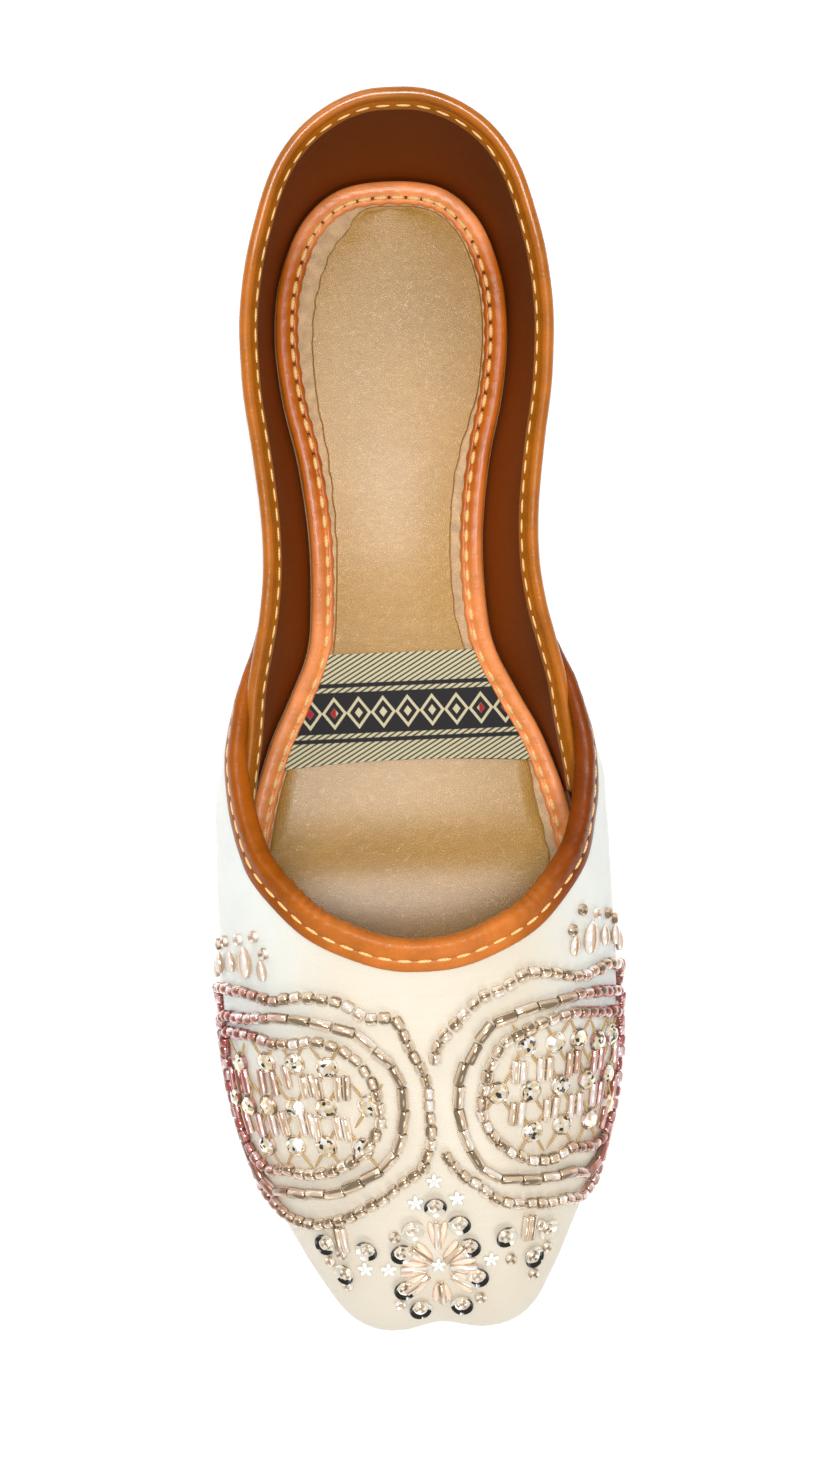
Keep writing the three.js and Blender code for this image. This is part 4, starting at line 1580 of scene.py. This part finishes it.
def build_insole_binding(last):
    """The binding round the footbed's rim, pulled in at every stitch."""

    def ring(place):
        side = -1 if place < 0 else 1
        around = abs(place) * TRIM_FRONT
        pull = math.cos(2 * math.pi * (place * TRIM_STITCHES + 0.5))
        points = []
        for share, rise in TRIM_PROFILE:
            if 0.5 < share < 0.9:
                rise += 0.1 * pull
            inset = last.wall + last.joint + share * last.trim_width
            if share > 0.9:
                inset += 0.15 * MM * pull
            point = last.foot(side, around, -inset)
            point.z = last.rim_top(point.y) + TINY + rise * last.trim_height
            points.append(last.bend(point))
        return points

    bm = closed_strip(spread(-1, 1, 401), ring)
    make_piece("insole_binding_leather", bm, [peach_leather()], ["insole_binding"], 50)


def build_insole_stitches(last):
    """Stitches in the insole binding, with dark marks of painted shade for the holes between them at the
    heel.
    """

    def spot(side, place, rise):
        around = min(abs(place) * TRIM_FRONT, 1)
        point = last.foot(side, around, -(last.wall + last.joint + 0.74 * last.trim_width))
        point.z = last.rim_top(point.y) + rise * last.trim_height
        return last.bend(point)

    def laid(place, rise, size):
        side = -1 if place < 0 else 1
        before, here, after = (spot(side, place + step * side, rise) for step in (-0.004, 0, 0.004))
        run = (after - before) * side if place else Vector((1, 0, 0))
        return frame_matrix(here, run, Vector((0, 0, 1)), size)

    pitch = 0.5 * last.run[-1] * TRIM_FRONT / TRIM_STITCHES
    stitch_size = (0.95 * MM, 0.9 * MM, 0.72 * pitch)
    hole_shade_size = (0.8 * MM, 0.5 * MM, 0.7 * MM)
    sewn, shaded_holes = [], []
    for k in range(-TRIM_STITCHES, TRIM_STITCHES):
        sewn.append(laid((k + 0.5) / TRIM_STITCHES, 0.62, stitch_size))
        place = (k + 1) / TRIM_STITCHES
        if abs(place) < 0.45:
            shaded_holes.append(laid(place, 0.52, hole_shade_size))
    form = stitch_form()
    gold = thread("gold thread", palette().gold)
    # Painted shade: a dark brown for the marks laid where the stitch holes are.
    dark = thread("stitch holes", shade(palette().lining, 0.6))
    copies_piece("insole_stitches", form, sewn, gold)
    copies_piece("insole_stitch_holes", form, shaded_holes, dark)
    bpy.data.meshes.remove(form)


def half_width_at(last, y):
    """Half the width of the pad at a place along the shoe."""
    near, far = 0.3, 0.6
    for _ in range(30):
        middle = (near + far) / 2
        if last.foot(1, middle, -trim_edge(last, middle)).y > y:
            near = middle
        else:
            far = middle
    return last.foot(1, near, -trim_edge(last, near)).x


def build_label(last):
    """The woven label across the footbed, its front edge bowed and its cloth a little wavy."""
    back = last.y_at(LABEL_BACK)
    front_bow = 1.2 * MM
    thick = 0.45 * MM
    shares = spread(-1, 1, 33)

    def ring(share):
        y = back - share * last.label_length
        wide = half_width_at(last, y) + 0.2 * MM
        points = []
        for lift, order in ((thick, shares), (0, reversed(shares))):
            for across in order:
                here = y + front_bow * share * (1 - across * across)
                ripple = 0.06 * MM * math.sin(across * 9 + share * 3)
                point = Vector((across * wide, here, pad_height(last, across, here) + TINY))
                point.z += lift + ripple
                points.append(last.bend(point))
        return points

    bm = closed_strip(spread(0, 1, 41), ring)
    make_piece("label_woven", bm, [label_weave()], ["label"], 40)


def build_footbed(last):
    """Pad, binding, stitches and label, from the rim inwards."""
    build_pad(last)
    build_insole_binding(last)
    build_insole_stitches(last)
    build_label(last)


def turned(profile, steps, ring=True):
    """A small round form from (radius, height) rows in millimetres, spun about z."""
    bm = bmesh.new()
    verts = [bm.verts.new((radius * MM, 0, height * MM)) for radius, height in profile]
    pairs = list(zip(verts, verts[1:])) + ([(verts[-1], verts[0])] if ring else [])
    edges = [bm.edges.new(pair) for pair in pairs]
    whole = {"cent": (0, 0, 0), "axis": (0, 0, 1), "angle": 2 * math.pi, "use_merge": True}
    bmesh.ops.spin(bm, geom=verts + edges, steps=steps, **whole)
    bmesh.ops.remove_doubles(bm, verts=bm.verts, dist=MERGE)
    bmesh.ops.recalc_face_normals(bm, faces=bm.faces)
    return form_of(bm)


def tube_form(radius, half, hole, soft, steps):
    """A tube bead along z with a hole through it, sized in millimetres."""
    profile = (
        (hole, soft - half),
        (radius - soft, -half),
        (radius, soft - half),
        (radius, half - soft),
        (radius - soft, half),
        (hole, half - soft),
    )
    return turned(profile, steps)


def vamp_spot(last, place, up, lift):
    """A point over the vamp and the way out of it."""
    return last.bend(last.off("vamp", place, up, lift)), last.skin_normal("vamp", place, up)


def along_shoe(normal, turn=0.0):
    """Direction over the surface towards the throat, turned about the normal in degrees."""
    run = Vector((0, 1, 0)) - normal * normal.y
    return (Matrix.Rotation(math.radians(turn), 3, normal) @ run).normalized()


def rolled():
    """A turn of a bead about its own hole, so that no two show the same facet."""
    return Matrix.Rotation(random.uniform(0, 1), 4, "Z")


def drawn_tones(matrices, low=0.0, high=1.0):
    """A tone for each copy, from low to high."""
    return [random.uniform(low, high) for _ in matrices]


def row_samples(last, knots, closed, lift):
    """Points, normals and places along a row of beads."""
    count = len(knots)
    steps = 14
    samples = []
    for i in range(count if closed else count - 1):
        if closed:
            around = [knots[(i + j) % count] for j in (-1, 0, 1, 2)]
        else:
            around = [knots[min(max(i + j, 0), count - 1)] for j in (-1, 0, 1, 2)]
            if i == 0:
                around[0] = tuple(2 * a - b for a, b in zip(knots[0], knots[1]))
            if i == count - 2:
                around[3] = tuple(2 * a - b for a, b in zip(knots[-1], knots[-2]))
        for step in range(steps):
            place, up = curve_point(*around, step / steps)
            samples.append((*vamp_spot(last, place, up, lift), place))
    if closed:
        samples.append(samples[0])
    return samples


def strung(kind, samples):
    """Seeds and tubes threaded along a row, each a little out of line; tubes only on top."""
    runs = lengths_along(samples)
    seeds, tubes = [], []
    at = 0.0
    while True:
        k = min(bisect(runs, at), len(samples) - 1)
        is_tube = kind == "bugle" and abs(samples[k][2]) < TUBE_REACH
        size = (TUBE_RUN if is_tube else SEED_RUN) * MM
        if at + size > runs[-1]:
            return seeds, tubes
        k = min(bisect(runs, at + size / 2), len(samples) - 1)
        (a, na, _), (b, nb, _) = samples[k - 1], samples[k]
        t = (at + size / 2 - runs[k - 1]) / max(runs[k] - runs[k - 1], 1e-9)
        point, normal = a.lerp(b, t), na.lerp(nb, t).normalized()
        point += normal.cross(b - a).normalized() * random.uniform(-0.18, 0.18) * MM
        run = Matrix.Rotation(random.uniform(-0.12, 0.12), 3, normal) @ (b - a)
        fat = random.uniform(0.92, 1.08)
        turn = rolled()
        shape = (fat, fat, random.uniform(0.94, 1.03))
        (tubes if is_tube else seeds).append(frame_matrix(point, run, normal, shape) @ turn)
        slack = random.uniform(0, 0.5) * MM if kind == "seed" else 0
        at += size + BEAD_GAP * MM + slack


def build_bead_rows(last):
    """The rows of seeds and tubes that draw the two medallions."""
    glass = bead_glass()
    seed = tube_form(1.2, 1.1, 0.42, 0.3, 9)
    bugle = tube_form(1.1, 2.25, 0.45, 0.14, 10)
    for name, (kind, ends, *knots) in BEAD_ROWS.items():
        seeds, tubes = strung(kind, row_samples(last, knots, ends == "closed", 1.0 * MM))
        bm = bmesh.new()
        add_copies(bm, seed, seeds, drawn_tones(seeds, 0.1, 0.7))
        add_copies(bm, bugle, tubes, drawn_tones(tubes, 0.0, 0.65))
        make_piece(f"{name}_beads", bm, [glass], [f"bead_row_{name}"], 48)
    for form in (seed, bugle):
        bpy.data.meshes.remove(form)


def build_medallion_tubes(last, side, form, glass):
    """Single tubes that fill a medallion between its rows."""
    matrices = []
    for place, up in TUBES[side]:
        point, normal = vamp_spot(last, place, up, 0.78 * MM)
        run = along_shoe(normal, random.uniform(-5, 5))
        turn = rolled()
        matrices.append(frame_matrix(point, run, normal, (1, 1, random.uniform(0.9, 1.05))) @ turn)
    name = f"{side}_medallion_tubes"
    copies_piece(name, form, matrices, glass, drawn_tones(matrices, 0.3, 0.8), sharp=50)


def build_stones(last, side, forms, materials):
    """Mounted stones: a cup sewn down by four threads, with a cut stone in it."""
    cup, stone, strand = forms
    glass, cut_glass, net = materials
    cups, stones, strands = [], [], []
    for place, up in STONES[side]:
        point, normal = vamp_spot(last, place, up, 0.45 * MM)
        run = along_shoe(normal, random.uniform(0, 45))
        cups.append(frame_matrix(point, normal, run))
        lean = (normal + run * random.uniform(-0.12, 0.12)).normalized()
        stones.append(frame_matrix(point + normal * 0.35 * MM, lean, run))
        for turn in (35, 145, 215, 325):
            way = along_shoe(normal, turn)
            middle = vamp_spot(last, place, up, 0.5 * MM)[0] + way * 3.4 * MM
            strands.append(frame_matrix(middle, way, normal, (0.62 * MM, 0.5 * MM, 5.0 * MM)))
    name = f"{side}_medallion"
    copies_piece(f"{name}_cups", cup, cups, glass, drawn_tones(cups), sharp=30)
    copies_piece(f"{name}_stones", stone, stones, cut_glass, drawn_tones(stones), sharp=1)
    copies_piece(f"{name}_threads", strand, strands, net)


def build_sprigs(last, glass):
    """Sprigs beside the throat: rings, and drops that lie along the shoe."""
    bm = bmesh.new()
    ring = tube_form(1.25, 0.5, 0.7, 0.2, 12)
    drop = turned(DROP_PROFILE, 10, False)
    rings = []
    for place, up in SPRIG_RINGS:
        point, normal = vamp_spot(last, place, up, 0.5 * MM)
        rings.append(frame_matrix(point, normal, along_shoe(normal)))
    add_copies(bm, ring, rings, drawn_tones(rings))
    drops = []
    for place, up, long in SPRIG_DROPS:
        wide = 0.72 * long
        point, normal = vamp_spot(last, place, up, 0.28 * wide * MM)
        run = along_shoe(normal, random.uniform(-6, 6))
        drops.append(frame_matrix(point, run, normal, (wide, 0.85 * wide, long)))
    add_copies(bm, drop, drops, drawn_tones(drops, 0.5, 0.85))
    make_piece("sprigs", bm, [glass], (), 40)
    for form in (ring, drop):
        bpy.data.meshes.remove(form)


def build_fillings(last):
    """What fills the medallions between their rows, and the sprigs beside the throat."""
    glass = bead_glass()
    materials = (glass, stone_glass(), thread("net thread", shade(palette().gold, 0.6)))
    tube = tube_form(0.85, 2.5, 0.35, 0.12, 8)
    cup = tube_form(2.35, 0.4, 1.95, 0.15, 12)
    stone = turned(STONE_PROFILE, 8, False)
    strand = stitch_form()
    for side in ("left", "right"):
        build_medallion_tubes(last, side, tube, glass)
        build_stones(last, side, (cup, stone, strand), materials)
    build_sprigs(last, glass)
    for form in (tube, cup, stone, strand):
        bpy.data.meshes.remove(form)


def build_petals(last, glass):
    """Petals of a tube between two drops, two tubes beside them, and small rings round about."""
    middle, up_share = FLOWER
    step = 0.05
    centre = last.vamp(middle, up_share)
    per_place = (last.vamp(step, up_share) - centre).length / step
    per_up = (last.vamp(middle, up_share + step) - centre).length / step

    def spot(radius, angle, lift):
        place = radius * MM * math.sin(angle) / per_place
        return vamp_spot(last, place, up_share + radius * MM * math.cos(angle) / per_up, lift)

    tubes, drops = [], []
    for angle, start, size in PETALS:
        turn = math.radians(angle)
        point, normal = spot(start + size / 2, turn, 0.75 * MM)
        run = spot(start + size, turn, 0.75 * MM)[0] - spot(start, turn, 0.75 * MM)[0]
        tubes.append(frame_matrix(point, run, normal, (1, 1, size / 5.7)) @ rolled())
        aside = normal.cross(run).normalized()
        shape = (1.7 * MM, 1.0 * MM, 1.02 * size * MM)
        for way in (-1, 1):
            lean = run.normalized() + aside * 0.22 * way
            beside = point + aside * way * MM - normal * 0.4 * MM
            drops.append(frame_matrix(beside, lean, normal, shape))
    for place, up in TOE_TUBES:
        point, normal = vamp_spot(last, place, up, 0.7 * MM)
        run = along_shoe(normal)
        for way in (-1, 1):
            aside = normal.cross(run) * 0.75 * way * MM
            tubes.append(frame_matrix(point + aside, run, normal, (1, 1, 0.95)))
    rings = []
    for place, up in (*TOE_RINGS, *(row[:2] for row in SEQUINS)):
        point, normal = vamp_spot(last, place, up, 0.55 * MM)
        rings.append(frame_matrix(point, normal, along_shoe(normal)))

    leaf = stitch_form()
    petal = tube_form(0.8, 2.8, 0.25, 0.12, 8)
    ring = tube_form(1.2, 0.5, 0.55, 0.2, 12)
    copies_piece("flower_drops", leaf, drops, drop_glass())
    bm = bmesh.new()
    add_copies(bm, petal, tubes, drawn_tones(tubes, 0.15, 0.75))
    add_copies(bm, ring, rings, drawn_tones(rings, 0.4, 0.9))
    make_piece("toe_flower_beads", bm, [glass], ["toe_flower"], 50)
    for form in (leaf, petal, ring):
        bpy.data.meshes.remove(form)


def build_sequins(last):
    """Cupped sequins; the side of each dish that turns from the light is marked by its tone."""
    dish = turned(SEQUIN_PROFILE, 20)
    bm = bmesh.new()
    layer = bm.verts.layers.float.new("tone")
    for place, up, facing, light in SEQUINS:
        point, normal = vamp_spot(last, place, up, 0.35 * MM)
        dark_way = along_shoe(normal, -facing)
        tilted = (normal - dark_way * 0.16).normalized()
        matrix = frame_matrix(point + normal * 0.3 * MM, tilted, dark_way)
        before = len(bm.verts)
        bm.from_mesh(dish)
        bm.verts.ensure_lookup_table()
        fresh = bm.verts[before:]
        bmesh.ops.transform(bm, matrix=matrix, verts=fresh)
        for vert in fresh:
            away = vert.co - point
            reach = math.hypot(away.x, away.y) / MM
            dark = reach > 1.56 and away.normalized().dot(dark_way) > -0.35
            vert[layer] = max(light, 0.0 if dark else 1.0)
    make_piece("sequins", bm, [sequin_foil()], (), 50)
    bpy.data.meshes.remove(dish)


def build_florets(last):
    """Painted florets of five petals round a knot."""
    petal_size = (1.1 * MM, 0.5 * MM, 1.7 * MM)
    knot_size = (0.8 * MM, 0.8 * MM, 0.7 * MM)
    matrices = []
    for place, up in FLORETS:
        point, normal = vamp_spot(last, place, up, 0.4 * MM)
        for k in range(5):
            way = along_shoe(normal, 72 * k)
            matrices.append(frame_matrix(point + way * 0.95 * MM, way, normal, petal_size))
        matrices.append(frame_matrix(point + normal * 0.3 * MM, normal, way, knot_size))
    leaf = stitch_form()
    copies_piece("florets", leaf, matrices, pearl_paint())
    bpy.data.meshes.remove(leaf)


def build_toe_flower(last):
    """The bead flower on the toe and what lies round it."""
    build_petals(last, bead_glass())
    build_sequins(last)
    build_florets(last)


# Stage


def build_floor(scene):
    """A floor six metres wide, nearly white."""
    bm = bmesh.new()
    bmesh.ops.create_grid(bm, x_segments=1, y_segments=1, size=3)
    mesh = bpy.data.meshes.new("floor")
    bm.to_mesh(mesh)
    bm.free()
    floor = bpy.data.objects.new("floor", mesh)
    scene.collection.objects.link(floor)
    glow = {"Emission_Color": (1, 1, 1, 1), "Emission_Strength": 0.15}
    low, high = tint(0.9, 0.9, 0.9), tint(0.92, 0.92, 0.92)
    mesh.materials.append(clouded("floor", 3.0, low, high, Roughness=0.9, **glow))


def build_light(scene, name, place, aim, wide, long, energy):
    """A soft round lamp; place, aim, width and length in metres, energy in watts."""
    light = bpy.data.lights.new(name, "AREA")
    light.shape = "ELLIPSE"
    light.size = wide
    light.size_y = long
    light.energy = energy
    lamp = bpy.data.objects.new(name, light)
    lamp.location = place
    lamp.rotation_euler = (Vector(aim) - Vector(place)).to_track_quat("-Z", "Y").to_euler()
    scene.collection.objects.link(lamp)


def build_camera(scene):
    """The camera over the shoe, rolled a little as in the photo."""
    camera_data = bpy.data.cameras.new("camera")
    camera_data.sensor_fit = "VERTICAL"
    camera_data.sensor_height = 36
    camera_data.lens = 54.1
    camera = bpy.data.objects.new("camera", camera_data)
    place = Vector((-16.2, 7.1, 480)) * MM
    aim = Vector((0.6, 0.5, 22)) * MM
    roll = math.radians(2.4)
    back = (place - aim).normalized()
    up = Vector((math.sin(roll), math.cos(roll), 0))
    right = up.cross(back).normalized()
    up = back.cross(right)
    turn = Matrix((right, up, back)).transposed().to_4x4()
    camera.matrix_world = Matrix.Translation(place) @ turn
    scene.collection.objects.link(camera)
    scene.camera = camera


def build_stage(scene):
    """Floor, pale world, lamps and camera."""
    build_floor(scene)
    scene.view_settings.view_transform = "Standard"
    world = bpy.data.worlds.new("studio")
    world.use_nodes = True
    background = world.node_tree.nodes["Background"]
    background.inputs["Color"].default_value = (1, 1, 1, 1)
    background.inputs["Strength"].default_value = 0.42
    scene.world = world
    for row in LAMPS:
        build_light(scene, *row)
    build_camera(scene)


class MOJARI_PT_panel(bpy.types.Panel):
    """Lists the pieces of the shoe"""

    bl_idname = "MOJARI_PT_panel"
    bl_label = "Mojari shoe"
    bl_space_type = "VIEW_3D"
    bl_region_type = "UI"
    bl_category = "Mojari"

    def draw(self, context):
        for operator in OPERATORS:
            self.layout.operator(operator.bl_idname)
        for group in (context.scene.mojari_sizes, context.scene.mojari_colours):
            column = self.layout.column()
            for key in type(group).__annotations__:
                column.prop(group, key)


OPERATORS = (
    MOJARI_OT_stage,
    MOJARI_OT_sole,
    MOJARI_OT_upper,
    MOJARI_OT_footbed,
    MOJARI_OT_bindings,
    MOJARI_OT_beads,
)
CLASSES = (MojariSizes, MojariColours, *OPERATORS, MOJARI_PT_panel)


def register():
    """Adds the classes and the settings of the scene."""
    for item in CLASSES:
        bpy.utils.register_class(item)
    bpy.types.Scene.mojari_sizes = PointerProperty(type=MojariSizes)
    bpy.types.Scene.mojari_colours = PointerProperty(type=MojariColours)


def unregister():
    """Takes away what register adds."""
    del bpy.types.Scene.mojari_colours
    del bpy.types.Scene.mojari_sizes
    for item in reversed(CLASSES):
        bpy.utils.unregister_class(item)


def main():
    """Builds every piece."""
    register()
    random.seed(7)
    for operator in OPERATORS:
        section, name = operator.bl_idname.split(".")
        getattr(getattr(bpy.ops, section), name)()


if __name__ == "__main__":
    main()
